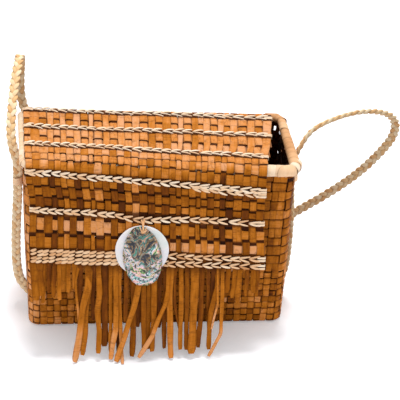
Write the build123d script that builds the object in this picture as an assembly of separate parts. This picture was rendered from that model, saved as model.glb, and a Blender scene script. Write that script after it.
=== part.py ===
from build123d import *
import os
from math import atan2, cos, degrees, hypot, pi, radians, sin, sqrt, tan

# A plaited cedar bark bag with a fringed flap, a shell pendant and a braided shoulder strap.
# Millimetres. X runs across the front, Y from front to back, Z up. The origin is the middle
# of the base, on the table.

# Bag body
bag_width = 260.0        # across the rim
bag_depth = 104.0        # front to back at the rim
base_width = 255.0
base_depth = 97.0
rim_height = 184.6       # middle of the rim roll above the table, half way across
rim_drop = 8.6           # the rim is this much lower at the right end than at the left
rim_shift = 1.5          # the rim leans this far to the right of the base
plan_skew = 4.5          # the back wall sits this far to the left of the front wall
corner_radius = 12.0
wall = 2.4               # two layers of bark strip
base_edge = 0.8
overrun = 5.0            # every cutting shape runs this far past what it cuts

# Rim roll: a rod laid along the edge and wrapped in flat raffia
rim_rod = 4.8            # diameter of the rod
rim_roll = 11.6          # diameter of the wrapped roll at the right front corner
rim_roll_thin = 8.4      # at the left front corner and at both ends by the back wall
rod_fit = 0.15
slot_fit = 0.2           # on each side of the wall tops inside the wrap
wrap_turn = 8.4          # width of one flat turn of raffia
wrap_groove = 0.5        # depth of the groove between two turns
wrap_groove_width = 0.9

# Flap
flap_thick = 2.2
flap_left = -126.0       # left edge, before the skew
flap_right_back = 121.5  # right edge at the back wall
flap_right_fold = 103.0  # right edge from the front fold down
flap_back_rise = 4.4     # underside above the rim plane at the back
back_bend_radius = 5.4   # inside of the back fold
flap_front_rise = 6.1    # underside above the rim plane over the front roll
flap_gap = 0.4           # running gap round the back fold
bend_radius = 7.2        # inside of the front fold
bend_split = 38.0        # where the fold line divides the bend, degrees from its top
fold_gap = 0.3
fold_relief = 10.0       # the front leaf can turn in this many degrees without pinching
flare = 13.5             # the front leaf stands this far from upright
front_end_left = 92.5    # length of the woven front leaf below the bend, left and right
front_end_right = 97.5

# Twined raffia rows, each lying from a left place to a right place
twine_pitch = 7.2        # one stitch for each upright strip
twine_width = 4.6
twine_thick = 1.5
twine_gap = 0.35
twine_inset = 1.5        # rows stop this far inside the flap's edges
row_a_places = (44.5, 36.5)     # along Y on the roof
row_b_places = (11.0, 2.0)
row_c_places = (-21.5, -39.5)
row_d_places = (1.0, 16.5)      # down the front leaf from the bend
row_e_places = (38.2, 49.3)
row_f_places = (81.0, 85.5)
row_g_places = (89.0, 93.5)

# Fringe: the ends of the upright strips, left unwoven
strip_pitch = 5.3
strip_width = 4.9
strip_thick = 1.0
strip_taper = 1.3        # how much narrower a strip is at its tip
fringe_left = -121.0
fringe_left_count = 9
fringe_long_count = 27
fringe_right_count = 6
short_length = 33.0
long_length = 92.0
short_vary = 5.0
long_vary = 5.5
lean_spread = 5.0
tip_clearance = 0.6      # the longest tips stop this far above the table

# Shell pendant
disc_diameter = 51.0
disc_thick = 2.2
disc_rim_thick = 1.2
disc_x = -12.6           # centre across the flap
disc_drop = 77.4         # centre below the bend
pendant_gap = 0.3
shell_width = 37.0
shell_top = 34.0         # from its widest line to the narrow end
shell_bottom = 27.0      # from its widest line to the round end
shell_rise = 8.5
shell_thick = 1.6
tie_from_edge = 4.2      # tie hole from the disc's upper edge
tie_diameter = 2.2
tie_hole = 2.8
tie_band = 3.2
tie_band_thick = 1.4
knot_diameter = 4.6

# Braided strap
strap_diameter = 8.4
strap_end_y = -4.0
strap_end_below_rim = 19.5
strap_wall_gap = 0.4
tail_gap = 14.5          # the tails stop this far under the strap's pivots
lashing_height = 9.0
lashing_thick = 1.3
lashing_fit = 0.15

os.makedirs("parts", exist_ok=True)

# The rim lies in a plane that falls a little towards the right
rim_tilt = atan2(rim_drop, bag_width)
rim_plane = Plane(
    origin=(0, 0, rim_height),
    x_dir=(cos(rim_tilt), 0, -sin(rim_tilt)),
    z_dir=(sin(rim_tilt), 0, cos(rim_tilt)),
)
reach = bag_width + bag_depth


def skewed(x, y):
    """Place across the bag once the back is drawn to the left and the front to the right."""
    return x - plan_skew * y / bag_depth


def in_rim(shape):
    """Move a shape drawn level about the origin into the tilted rim plane."""
    return rim_plane.location * shape


def above(level):
    """Everything above a level of the tilted rim plane."""
    return in_rim(Pos(0, 0, level + reach / 2) * Box(2 * reach, 2 * reach, reach))


def outline(width, depth, radius, z, shift):
    """Plan of the bag at one height: a skewed oblong with rounded corners."""
    half_w, half_d = width / 2, depth / 2
    corners = [
        (skewed(shift + side * half_w, end * half_d), end * half_d)
        for side, end in ((-1, -1), (1, -1), (1, 1), (-1, 1))
    ]
    plan = Polygon(*corners, align=None)
    return Pos(0, 0, z) * fillet(plan.vertices(), radius)


def body_loft(inset):
    """The tapered body, as a solid, with its sides moved in by an inset."""
    top = rim_height + rim_drop + rim_roll + overrun
    grow = (top - wall) / (rim_height - wall)
    top_width = base_width + (bag_width - base_width) * grow
    top_depth = base_depth + (bag_depth - base_depth) * grow
    radius = corner_radius - inset
    lower = outline(base_width - 2 * inset, base_depth - 2 * inset, radius, wall, 0)
    upper = outline(top_width - 2 * inset, top_depth - 2 * inset, radius, top, rim_shift * grow)
    return loft([lower, upper], ruled=True)


# Body panels
outer_body = body_loft(0)
shell = outer_body - body_loft(wall)
panel_half = base_width / 2 - corner_radius
front_shift = skewed(0, -bag_depth / 2)
front_zone = Pos(front_shift, -bag_depth / 2, rim_height / 2) * Box(
    2 * panel_half, bag_depth, 2 * reach
)
back_zone = Pos(-front_shift, bag_depth / 2, rim_height / 2) * Box(
    2 * panel_half, bag_depth, 2 * reach
)
rod_seat = -rim_rod / 2 - rod_fit
low_shell = shell - above(rod_seat)
front_wall = low_shell & front_zone
back_bend_z = flap_back_rise - back_bend_radius
back_wall = (shell - above(back_bend_z - flap_gap)) & back_zone
gussets = low_shell - front_zone - back_zone
side_zone = Pos(-reach / 2, 0, 0) * Box(reach, 2 * reach, 2 * reach)
left_gusset = gussets & side_zone
right_gusset = gussets - side_zone
base_panel = extrude(outline(base_width, base_depth, corner_radius, 0, 0), wall)
base_panel = chamfer(base_panel.edges().group_by(Axis.Z)[0], base_edge)

# Rim roll, drawn level and then laid in the rim plane
roll_x = bag_width / 2 - wall / 2
roll_y = bag_depth / 2 - wall / 2
roll_corner = corner_radius - wall / 2


def rim_point(side, end):
    return Vector(skewed(rim_shift + side * roll_x, end * roll_y), end * roll_y, 0)


def rim_end(side):
    """Where a side roll meets the edge of the taller back wall."""
    return Vector(skewed(side * panel_half, bag_depth / 2), roll_y, 0)


front_left, front_right = rim_point(-1, -1), rim_point(1, -1)
back_left, back_right = rim_point(-1, 1), rim_point(1, 1)
rim_path = FilletPolyline(
    rim_end(-1), back_left, front_left, front_right, back_right, rim_end(1), radius=roll_corner
)
rod_plane = Plane(origin=rim_path @ 0, x_dir=(0, 0, 1), z_dir=rim_path % 0)
rod_sweep = sweep(rod_plane * Circle(rim_rod / 2), path=rim_path)
bore_sweep = sweep(rod_plane * Circle(rim_rod / 2 + rod_fit), path=rim_path)
slot_section = Pos(-rim_roll / 2, 0) * Rectangle(rim_roll, wall + 2 * slot_fit)
slot_sweep = sweep(rod_plane * slot_section, path=rim_path)
rim_core = in_rim(rod_sweep) - back_wall


def corner_reach(before, corner, after):
    """How far a rounded corner of the roll takes up along each side."""
    turn = radians((corner - before).get_angle(after - corner))
    return roll_corner * tan(turn / 2)


def straight_start(before, corner, after):
    """End of the rounded corner on the side towards the third point."""
    way = (after - corner).normalized()
    return corner + way * corner_reach(before, corner, after)


def turned_roll(length, start_radius, end_radius, turns):
    """A straight stretch of roll along +Z, each flat turn of raffia a barrel with a groove after it."""
    points = [(0, 0), (start_radius, 0)]
    turn = length / turns
    lip = wrap_groove_width / 2
    for number in range(1, turns):
        radius = start_radius + (end_radius - start_radius) * number / turns
        place = number * turn
        points += [(radius, place - lip), (radius - wrap_groove, place), (radius, place + lip)]
    points += [(end_radius, length), (0, length)]
    section = Plane.XZ * Polygon(*points, align=None)
    return revolve(section, Axis.Z, 360)


def laid_between(shape, start, end):
    """Stand a shape that was drawn along +Z on a start point, looking at an end point."""
    return Plane(origin=start, z_dir=end - start).location * shape


def corner_roll(before, corner, after, diameter):
    """The rounded corner of the roll as a plain bend of one diameter."""
    start = straight_start(after, corner, before)
    end = straight_start(before, corner, after)
    bend = TangentArc(start, end, tangent=corner - before)
    return sweep(Plane(origin=bend @ 0, z_dir=bend % 0) * Circle(diameter / 2), path=bend)


def wrap_piece(shape):
    """Open a stretch of wrap for the rod and for the wall tops that stand in it."""
    return in_rim(shape - bore_sweep - slot_sweep) - back_wall


front_from = straight_start(back_left, front_left, front_right)
front_to = straight_start(back_right, front_right, front_left)
front_run = (front_to - front_from).length
front_roll = laid_between(
    turned_roll(front_run, rim_roll_thin / 2, rim_roll / 2, round(front_run / wrap_turn)),
    front_from,
    front_to,
)
front_corners = [
    corner_roll(back_left, front_left, front_right, rim_roll_thin),
    corner_roll(back_right, front_right, front_left, rim_roll),
]
rim_wrap_front = wrap_piece(front_roll)
rim_wrap_front_left = wrap_piece(front_corners[0])
rim_wrap_front_right = wrap_piece(front_corners[1])


def side_roll(front_corner, other_front, back_corner, end_point, diameter):
    """Side stretch of the roll, from its front diameter, turning in to the back wall."""
    start = straight_start(other_front, front_corner, back_corner)
    stop = straight_start(end_point, back_corner, front_corner)
    run = (stop - start).length
    straight = turned_roll(run, diameter / 2, rim_roll_thin / 2, round(run / wrap_turn))
    bend = corner_roll(front_corner, back_corner, end_point, rim_roll_thin)
    bend_end = straight_start(front_corner, back_corner, end_point)
    last = end_point - bend_end
    tip = laid_between(extrude(Circle(rim_roll_thin / 2), last.length), bend_end, end_point)
    return laid_between(straight, start, stop) + bend + tip


left_roll = side_roll(front_left, front_right, back_left, rim_end(-1), rim_roll_thin)
right_roll = side_roll(front_right, front_left, back_right, rim_end(1), rim_roll)
rim_wrap_left = wrap_piece(left_roll)
rim_wrap_right = wrap_piece(right_roll)

# Flap, drawn level in the rim plane as a side profile and trimmed to its plan
half_depth = bag_depth / 2
bend_y = -roll_y
bend_z = flap_front_rise - bend_radius
outer_radius = bend_radius + flap_thick
end_angle = 90 - flare


def on_bend(radius, angle):
    """A point of the front bend, by its angle from the top towards the front."""
    turn = radians(angle)
    return (bend_y - radius * sin(turn), bend_z + radius * cos(turn))


def side_profile(points_and_arcs):
    """A face across the flap, drawn in Y and Z and facing +X."""
    wires = Wire(points_and_arcs)
    return Plane.YZ * make_face(wires)


def arc_on_bend(radius, start, end):
    return ThreePointArc(
        on_bend(radius, start), on_bend(radius, (start + end) / 2), on_bend(radius, end)
    )


def across(face):
    """Draw a side profile across the whole bag."""
    return Pos(-bag_width / 2, 0, 0) * extrude(face, bag_width, dir=(1, 0, 0))


back_bend_y = half_depth - back_bend_radius - flap_thick


def on_back_bend(radius, angle):
    """A point of the back bend, by its angle from the top towards the back."""
    turn = radians(angle)
    return (back_bend_y + radius * sin(turn), back_bend_z + radius * cos(turn))


def arc_on_back_bend(radius):
    return ThreePointArc(
        on_back_bend(radius, 90), on_back_bend(radius, 45), on_back_bend(radius, 0)
    )


back_outer = back_bend_radius + flap_thick
roof_over = arc_on_bend(outer_radius, 0, bend_split)
roof_under = arc_on_bend(bend_radius, 0, bend_split)
roof_profile = side_profile(
    [
        Line(on_back_bend(back_bend_radius, 90), on_back_bend(back_outer, 90)),
        arc_on_back_bend(back_outer),
        Line(on_back_bend(back_outer, 0), on_bend(outer_radius, 0)),
        roof_over,
        Line(on_bend(outer_radius, bend_split), on_bend(bend_radius, bend_split)),
        roof_under,
        Line(on_bend(bend_radius, 0), on_back_bend(back_bend_radius, 0)),
        arc_on_back_bend(back_bend_radius),
    ]
)

front_start_over = bend_split + degrees(fold_gap / outer_radius)
relief = fold_gap + flap_thick * tan(radians(fold_relief))
front_start_under = bend_split + degrees(relief / bend_radius)


def on_front(drop, inward=0.0):
    """A point of the front leaf: a drop below the bend along its outer face, and a depth inward."""
    start_y, start_z = on_bend(outer_radius - inward, end_angle)
    return (start_y - drop * sin(radians(flare)), start_z - drop * cos(radians(flare)))


leaf_end = max(front_end_left, front_end_right) + overrun
front_profile = side_profile(
    [
        arc_on_bend(outer_radius, front_start_over, end_angle),
        Line(on_front(0), on_front(leaf_end)),
        Line(on_front(leaf_end), on_front(leaf_end, flap_thick)),
        Line(on_front(leaf_end, flap_thick), on_front(0, flap_thick)),
        arc_on_bend(bend_radius, front_start_under, end_angle),
        Line(on_bend(bend_radius, front_start_under), on_bend(outer_radius, front_start_over)),
    ]
)

fold_y = bend_y - outer_radius
roof_plan = Polygon(
    (skewed(flap_left, half_depth), half_depth + overrun),
    (skewed(flap_right_back, half_depth), half_depth + overrun),
    (skewed(flap_right_fold, fold_y), fold_y),
    (skewed(flap_left, fold_y), fold_y),
    align=None,
)
roof_cutter = extrude(roof_plan, reach, both=True)
fold_half = panel_half - flap_gap
fold_zone = Pos(skewed(0, half_depth), 0, 0) * Box(2 * fold_half, 2 * reach, 2 * reach)
below_roof = Pos(0, half_depth, flap_back_rise - reach / 2) * Box(2 * reach, bag_depth, reach)
beside_fold = below_roof - fold_zone
flap_roof_panel = in_rim((across(roof_profile) & roof_cutter) - beside_fold)

# The front leaf is trimmed in its own plane: X across, Y up the leaf, Z out of it
front_y, front_z = on_front(0)
front_frame = Plane(
    origin=(0, front_y, front_z),
    x_dir=(1, 0, 0),
    z_dir=(0, -cos(radians(flare)), sin(radians(flare))),
)
leaf_left = skewed(flap_left, fold_y)
leaf_right = skewed(flap_right_fold, fold_y)
leaf_width = leaf_right - leaf_left
leaf_plan = Polygon(
    (leaf_left, overrun + outer_radius),
    (leaf_left, -front_end_left),
    (leaf_right, -front_end_right),
    (leaf_right, overrun + outer_radius),
    align=None,
)
leaf_cutter = front_frame.location * extrude(leaf_plan, reach, both=True)
flap_front_panel = in_rim(across(front_profile) & leaf_cutter)


def in_front(shape):
    """Lay a shape drawn on the front leaf, outward along +Z, on the bag."""
    return in_rim(front_frame.location * shape)


def front_point(x, up, out):
    return rim_plane.from_local_coords(front_frame.from_local_coords(Vector(x, up, out)))


roof_slope = atan2(flap_front_rise - flap_back_rise, back_bend_y - bend_y)
roof_frame = Plane(
    origin=(0, back_bend_y, flap_back_rise + flap_thick),
    x_dir=(1, 0, 0),
    z_dir=(0, sin(roof_slope), cos(roof_slope)),
)


def in_roof(shape):
    """Lay a shape drawn on the roof, with Y measured from the back bend, on the bag."""
    return in_rim(roof_frame.location * shape)


# Twined rows: two strands of raffia cross between every pair of upright strips
def twined_stitches(left, right):
    """Arrow-shaped stitches in a row from a left point to a right point, 2-D points on a leaf."""
    notch = twine_width / 2
    run = hypot(right[0] - left[0], right[1] - left[1]) - notch
    turn = degrees(atan2(right[1] - left[1], right[0] - left[0]))
    count = round(run / twine_pitch)
    pitch = run / count
    stitch_run = pitch - twine_gap
    arrow = Polygon(
        (0, 0),
        (notch, -twine_width / 2),
        (stitch_run + notch, -twine_width / 2),
        (stitch_run, 0),
        (stitch_run + notch, twine_width / 2),
        (notch, twine_width / 2),
        align=None,
    )
    stitch = extrude(arrow, twine_thick)
    placed = [Pos(number * pitch, 0, 0) * stitch for number in range(count)]
    return [Pos(left[0], left[1], 0) * Rot(0, 0, turn) * one for one in placed]


def roof_row(places):
    """Stitches of one row on the roof, given its places along Y at the left and right edge."""
    ends = []
    for place, side in zip(places, (-1, 1)):
        share = (half_depth - place) / (half_depth - fold_y)
        right_edge = flap_right_back + (flap_right_fold - flap_right_back) * share
        edge = flap_left + twine_inset if side < 0 else right_edge - twine_inset
        ends.append((skewed(edge, place), place - back_bend_y))
    return Compound(children=[in_roof(one) for one in twined_stitches(*ends)])


def front_row(drops):
    """Stitches of one row on the front leaf, given its drops at the left and right edge."""
    left = (leaf_left + twine_inset, -drops[0])
    right = (leaf_right - twine_inset, -drops[1])
    return [in_front(one) for one in twined_stitches(left, right)]


twined_row_a = roof_row(row_a_places)
twined_row_b = roof_row(row_b_places)
twined_row_c = roof_row(row_c_places)
twined_row_d = Compound(children=front_row(row_d_places))
twined_row_e = Compound(children=front_row(row_e_places))
twined_band_f = Compound(children=front_row(row_f_places) + front_row(row_g_places))


# Fringe strips: alternate ones come from the outer and the inner layer of the weave
def leaf_bottom(x):
    """Drop of the woven edge at a place across the front leaf."""
    return front_end_left + (front_end_right - front_end_left) * (x - leaf_left) / leaf_width


def table_drop(x):
    """Drop at which a strip would touch the table."""
    start = front_point(x, 0, -flap_thick).Z
    below = front_point(x, -long_length, -flap_thick).Z
    return start * long_length / (start - below)


def fringe_strip(number, mean_length, vary):
    """One strip, its length and lean varied by a rule so that neighbours differ."""
    left = fringe_left + number * strip_pitch
    right = left + strip_width
    middle = (left + right) / 2
    length = mean_length + vary * sin(2.4 * number) * cos(0.9 * number)
    lean = lean_spread * (0.45 * sin(1.7 * number) + 0.4 * (2 * (middle - leaf_left) / leaf_width - 1))
    end = min(leaf_bottom(middle) + length, table_drop(middle) - tip_clearance)
    cut = strip_taper * sin(1.3 * number)
    strip = Polygon(
        (left, -leaf_bottom(left)),
        (left + lean + strip_taper / 2, -end - cut),
        (right + lean - strip_taper / 2, -end + abs(cut)),
        (right, -leaf_bottom(right)),
        align=None,
    )
    layer = -strip_thick if number % 2 else -flap_thick
    return in_front(Pos(0, 0, layer) * extrude(strip, strip_thick))


def fringe_group(first, count, mean_length, vary):
    numbers = range(first, first + count)
    return Compound(children=[fringe_strip(number, mean_length, vary) for number in numbers])


long_first = fringe_left_count
right_first = fringe_left_count + fringe_long_count
fringe_left_short = fringe_group(0, fringe_left_count, short_length, short_vary)
fringe_long = fringe_group(long_first, fringe_long_count, long_length, long_vary)
fringe_right_short = fringe_group(right_first, fringe_right_count, short_length, short_vary)

# Shell pendant: a pearl disc with an abalone shell over it, both hung on one raffia tie
disc_radius = disc_diameter / 2
disc_back = twine_thick + pendant_gap
disc_front = disc_back + disc_thick
tie_drop = disc_drop - disc_radius + tie_from_edge
disc_bulge = disc_thick - disc_rim_thick
disc_edge_top = disc_back + disc_rim_thick
disc_section = make_face(
    Wire(
        [
            Line((0, disc_back), (disc_radius, disc_back)),
            Line((disc_radius, disc_back), (disc_radius, disc_edge_top)),
            ThreePointArc(
                (disc_radius, disc_edge_top),
                (disc_radius / 2, disc_edge_top + disc_bulge * 3 / 4),
                (0, disc_front),
            ),
            Line((0, disc_front), (0, disc_back)),
        ]
    )
)
disc_at = Pos(disc_x, -disc_drop, 0)
tie_at = Pos(disc_x, -tie_drop, 0)
tie_bore = tie_at * Cylinder(tie_hole / 2, 2 * reach)
pearl_disc = disc_at * revolve(Plane.XZ * disc_section, Axis.Z, 360) - tie_bore


def egg_dome(width, top, bottom, rise):
    """Half of an egg lying on its flat side, narrower above its widest line."""
    ball = Sphere(1)
    lower_half = Pos(0, -1, 1) * Box(4, 2, 2)
    upper_half = Pos(0, 1, 1) * Box(4, 2, 2)
    narrow = scale(ball & upper_half, by=(width / 2, top, rise))
    round_end = scale(ball & lower_half, by=(width / 2, bottom, rise))
    return narrow + round_end


shell_seat = disc_front + pendant_gap
shell_widest = tie_drop - tie_from_edge + shell_top
shell_at = Pos(disc_x + 1, -shell_widest, shell_seat) * Rot(0, 0, 6)
shell_outside = egg_dome(shell_width, shell_top, shell_bottom, shell_rise)
shell_inside = egg_dome(
    shell_width - 2 * shell_thick,
    shell_top - shell_thick,
    shell_bottom - shell_thick,
    shell_rise - shell_thick,
)
abalone_shell = shell_at * (shell_outside - shell_inside) - tie_bore

shell_at_tie = shell_rise * sqrt(1 - ((shell_top - tie_from_edge) / shell_top) ** 2)
knot_height = shell_seat + shell_at_tie + knot_diameter / 2 + pendant_gap
knot = tie_at * (Pos(0, 0, knot_height) * Sphere(knot_diameter / 2))
tie_pin = tie_at * extrude(Circle(tie_diameter / 2), knot_height)
row_e_here = row_e_places[0] + (row_e_places[1] - row_e_places[0]) * (disc_x - leaf_left) / leaf_width
tie_foot = tie_drop - row_e_here - twine_width / 2 - pendant_gap
tie_bend = tie_from_edge + tie_diameter / 2
band_profile = Polygon(
    (0, knot_height - tie_band_thick / 2),
    (tie_bend, knot_height - tie_band_thick / 2),
    (tie_foot - tie_band_thick, 0),
    (tie_foot, 0),
    (tie_bend + tie_band_thick / 2, knot_height + tie_band_thick / 2),
    (0, knot_height + tie_band_thick / 2),
    align=None,
)
band = tie_at * (Pos(-tie_band / 2, 0, 0) * extrude(Plane.YZ * band_profile, tie_band, dir=(1, 0, 0)))
shell_tie = in_front(knot + tie_pin + band)
pearl_disc = in_front(pearl_disc)
abalone_shell = in_front(abalone_shell)

# Strap: a stiff braid that starts at the left side, arches up and back, passes behind the bag
# and loops out at the right side before it comes back to the rim
strap_radius = strap_diameter / 2
strap_end_z = rim_height - strap_end_below_rim


def wall_face(side, y, z):
    """Outer face of a side wall at one height."""
    grow = (z - wall) / (rim_height - wall)
    half = (base_width + (bag_width - base_width) * grow) / 2
    return skewed(side * half + rim_shift * grow, y)


left_end = Vector(
    wall_face(-1, strap_end_y, strap_end_z) - strap_wall_gap - strap_radius, strap_end_y, strap_end_z
)
right_end = Vector(
    wall_face(1, strap_end_y, strap_end_z) + strap_wall_gap + strap_radius, strap_end_y, strap_end_z
)
strap_points = [
    left_end,
    (-137.6, -3.0, 183.0),
    (-138.6, 4.0, 199.5),
    (-136.9, 17.0, 213.5),
    (-134.9, 38.0, 227.5),
    (-131.6, 54.2, 239.5),
    (-129.8, 73.8, 240.0),
    (-129.9, 88.9, 227.0),
    (-131.2, 92.5, 207.0),
    (-131.4, 88.0, 186.0),
    (-124.0, 77.5, 164.5),
    (-105.0, 69.0, 141.5),
    (-74.0, 63.5, 119.5),
    (-30.0, 60.5, 93.0),
    (18.0, 60.3, 63.0),
    (58.0, 61.5, 39.5),
    (94.0, 63.0, 31.0),
    (128.0, 64.0, 42.0),
    (160.0, 64.0, 63.0),
    (190.0, 62.0, 85.5),
    (215.0, 58.5, 109.5),
    (235.0, 53.0, 138.5),
    (245.5, 46.5, 163.0),
    (241.5, 39.0, 186.5),
    (222.0, 30.0, 199.0),
    (197.0, 20.8, 203.0),
    (171.5, 10.4, 200.5),
    (152.0, 2.0, 194.5),
    (142.4, -3.2, 181.5),
    right_end,
]


def bend_radii(points):
    """The largest arc at each corner that its two runs leave room for."""
    places = [Vector(*point) if isinstance(point, tuple) else point for point in points]
    radii = []
    for before, corner, after in zip(places, places[1:], places[2:]):
        run_in, run_out = corner - before, after - corner
        half_turn = radians(run_in.get_angle(run_out)) / 2
        radii.append(0.45 * min(run_in.length, run_out.length) / tan(half_turn))
    return radii


def braid_tube(name, points):
    """A round tube of the braid's thickness along straight runs and tangent arcs."""
    radii = bend_radii(points)
    path = FilletPolyline(*points, radius=radii)
    section = Plane(origin=path @ 0, z_dir=path % 0) * Circle(strap_radius)
    tube = sweep(section, path=path)
    expected = pi * strap_radius**2 * path.length
    print(name, "length", round(path.length, 1), "smallest radius", round(min(radii), 1))
    print(name, "volume share of section times length", round(tube.volume / expected, 4))
    return tube


strap = braid_tube("strap", strap_points)
strap = strap + Pos(*left_end) * Sphere(strap_radius) + Pos(*right_end) * Sphere(strap_radius)

# Tails: the same braid goes on down each side, bows out and is tucked into the weave at the base
tail_top = strap_end_z - tail_gap
left_tail_points = [
    (left_end.X, strap_end_y, tail_top),
    (left_end.X - 0.4, strap_end_y, tail_top - 20.0),
    (left_end.X - 2.6, strap_end_y - 0.5, tail_top - 49.0),
    (left_end.X - 4.3, strap_end_y - 0.5, tail_top - 83.0),
    (left_end.X - 4.0, strap_end_y, tail_top - 113.0),
    (left_end.X + 0.4, strap_end_y + 0.5, tail_top - 131.0),
    (left_end.X + 10.0, strap_end_y + 1.0, tail_top - 141.5),
]
right_tail_points = [
    (right_end.X, strap_end_y, tail_top),
    (right_end.X + 0.4, strap_end_y, tail_top - 20.0),
    (right_end.X + 2.4, strap_end_y - 0.5, tail_top - 50.0),
    (right_end.X + 2.6, strap_end_y - 0.5, tail_top - 84.0),
    (right_end.X + 1.2, strap_end_y, tail_top - 114.0),
    (right_end.X - 3.4, strap_end_y + 0.5, tail_top - 132.0),
    (right_end.X - 13.0, strap_end_y + 1.0, tail_top - 141.5),
]
left_strap_tail = braid_tube("left tail", left_tail_points) - outer_body
right_strap_tail = braid_tube("right tail", right_tail_points) - outer_body


def lashing(end):
    """Turns of raffia that bind the top of a tail to the weave."""
    centre = Pos(end.X, end.Y, tail_top - lashing_height / 2 - lashing_thick)
    turns = Cylinder(strap_radius + lashing_thick, lashing_height)
    opening = Cylinder(strap_radius + lashing_fit, lashing_height + overrun)
    return centre * (turns - opening) - outer_body


left_tail_lashing = lashing(left_end)
right_tail_lashing = lashing(right_end)

nodes = {
    "base_panel": base_panel,
    "front_wall": front_wall,
    "back_wall": back_wall,
    "left_gusset": left_gusset,
    "right_gusset": right_gusset,
    "rim_core": rim_core,
    "rim_wrap_front": rim_wrap_front,
    "rim_wrap_front_left_corner": rim_wrap_front_left,
    "rim_wrap_front_right_corner": rim_wrap_front_right,
    "rim_wrap_left": rim_wrap_left,
    "rim_wrap_right": rim_wrap_right,
    "left_strap_tail": left_strap_tail,
    "right_strap_tail": right_strap_tail,
    "left_tail_lashing": left_tail_lashing,
    "right_tail_lashing": right_tail_lashing,
    "flap_roof_panel": flap_roof_panel,
    "twined_row_a": twined_row_a,
    "twined_row_b": twined_row_b,
    "twined_row_c": twined_row_c,
    "flap_front_panel": flap_front_panel,
    "twined_row_d": twined_row_d,
    "twined_row_e": twined_row_e,
    "twined_band_f": twined_band_f,
    "fringe_left_short": fringe_left_short,
    "fringe_long": fringe_long,
    "fringe_right_short": fringe_right_short,
    "pearl_disc": pearl_disc,
    "abalone_shell": abalone_shell,
    "shell_tie": shell_tie,
    "strap": strap,
}
for name, shape in nodes.items():
    export_step(shape, f"parts/{name}.step")

# Joint lines, for whoever assembles the bag
fold_point = rim_plane.from_local_coords(Vector(0, half_depth, back_bend_z - flap_gap / 2))
crease_point = rim_plane.from_local_coords(Vector(0, *on_bend(outer_radius, bend_split)))
tie_point = front_point(disc_x, -tie_drop, 0)
tie_way = (front_point(disc_x, -tie_drop, tie_band) - tie_point).normalized()
print("back fold through", fold_point, "along", rim_plane.x_dir)
print("front fold through", crease_point, "along", rim_plane.x_dir)
print("pendant tie through", tie_point, "along", tie_way)
print("strap pivots", left_end, right_end)
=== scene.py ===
from math import atan2, cos, hypot, pi, radians, sin, tan

import bpy
import numpy as np
from mathutils import Matrix, Vector


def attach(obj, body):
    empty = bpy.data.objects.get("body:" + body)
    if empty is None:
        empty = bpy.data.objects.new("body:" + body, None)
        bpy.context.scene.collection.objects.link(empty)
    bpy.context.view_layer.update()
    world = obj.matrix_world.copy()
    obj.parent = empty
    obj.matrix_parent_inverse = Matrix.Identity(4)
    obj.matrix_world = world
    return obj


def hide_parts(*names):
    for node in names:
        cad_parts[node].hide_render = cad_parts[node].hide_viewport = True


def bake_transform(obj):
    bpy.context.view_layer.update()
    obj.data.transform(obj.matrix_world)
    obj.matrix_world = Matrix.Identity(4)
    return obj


# A plaited cedar bark bag. Places are worked out in millimetres in the frame of the CAD model, x to
# the right, y to the back and z up, and turned into metres where a mesh is made. Tones run from 0,
# dark, to 1, pale. The small sines and random shares are the unevenness of work done by hand.
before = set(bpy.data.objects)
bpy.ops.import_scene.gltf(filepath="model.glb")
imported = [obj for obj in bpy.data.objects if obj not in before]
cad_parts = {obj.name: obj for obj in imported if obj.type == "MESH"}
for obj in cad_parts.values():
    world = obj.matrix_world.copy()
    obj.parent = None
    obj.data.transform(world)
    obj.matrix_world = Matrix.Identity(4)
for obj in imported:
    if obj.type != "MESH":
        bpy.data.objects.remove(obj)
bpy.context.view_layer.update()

MM = 0.001
rng = np.random.default_rng(11)

# The bag's plan at the rim and at the base, and the rim's plane, which falls to the right. The back
# lies a little further to the left than the front.
RIM_HEIGHT = 184.6
RIM_LENGTH, RIM_DEPTH = 260.0, 104.0
BASE_LENGTH, BASE_DEPTH = 255.0, 97.0
RIM_SHIFT, RIM_DROP, BACK_SHIFT = 1.5, 8.6, 4.5
RIM_TILT = atan2(RIM_DROP, RIM_LENGTH)
RIM_X = np.array([cos(RIM_TILT), 0.0, -sin(RIM_TILT)])
RIM_Z = np.array([sin(RIM_TILT), 0.0, cos(RIM_TILT)])
DOWN = np.array([0.0, 0.0, -1.0])
SKEW = BACK_SHIFT / RIM_DEPTH
SKEW_ANGLE = atan2(BACK_SHIFT, RIM_DEPTH)

# The flap's profile: an arc at the back, the roof, an arc over the front rim and the flaring leaf.
# A name with Q is a length along the profile from the back fold.
BACK_BEND_Y, BACK_BEND_Z, BACK_RADIUS = 44.4, -1.0, 7.6
BEND_Y, BEND_Z, BEND_RADIUS = -50.8, -1.1, 9.4
ROOF_RISE = 1.7
FLARE = radians(13.5)
FLAP_THICK = 2.2
MIDDLE = -FLAP_THICK / 2
ROOF_RUN = hypot(BACK_BEND_Y - BEND_Y, ROOF_RISE)
ROOF_SLOPE = atan2(ROOF_RISE, BACK_BEND_Y - BEND_Y)
Q_ROOF = BACK_RADIUS * pi / 2
Q_BEND = Q_ROOF + ROOF_RUN
Q_LEAF = Q_BEND + BEND_RADIUS * (pi / 2 - FLARE)
HINGE_Y = 52.0
FOLD_Y, BACK_EDGE_Y = -60.2, 57.0
LEAF_SPAN = (-123.4, 105.6)
BACK_SPAN = (-128.25, 119.25)
BACK_PANEL_HALF = 115.0

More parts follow.
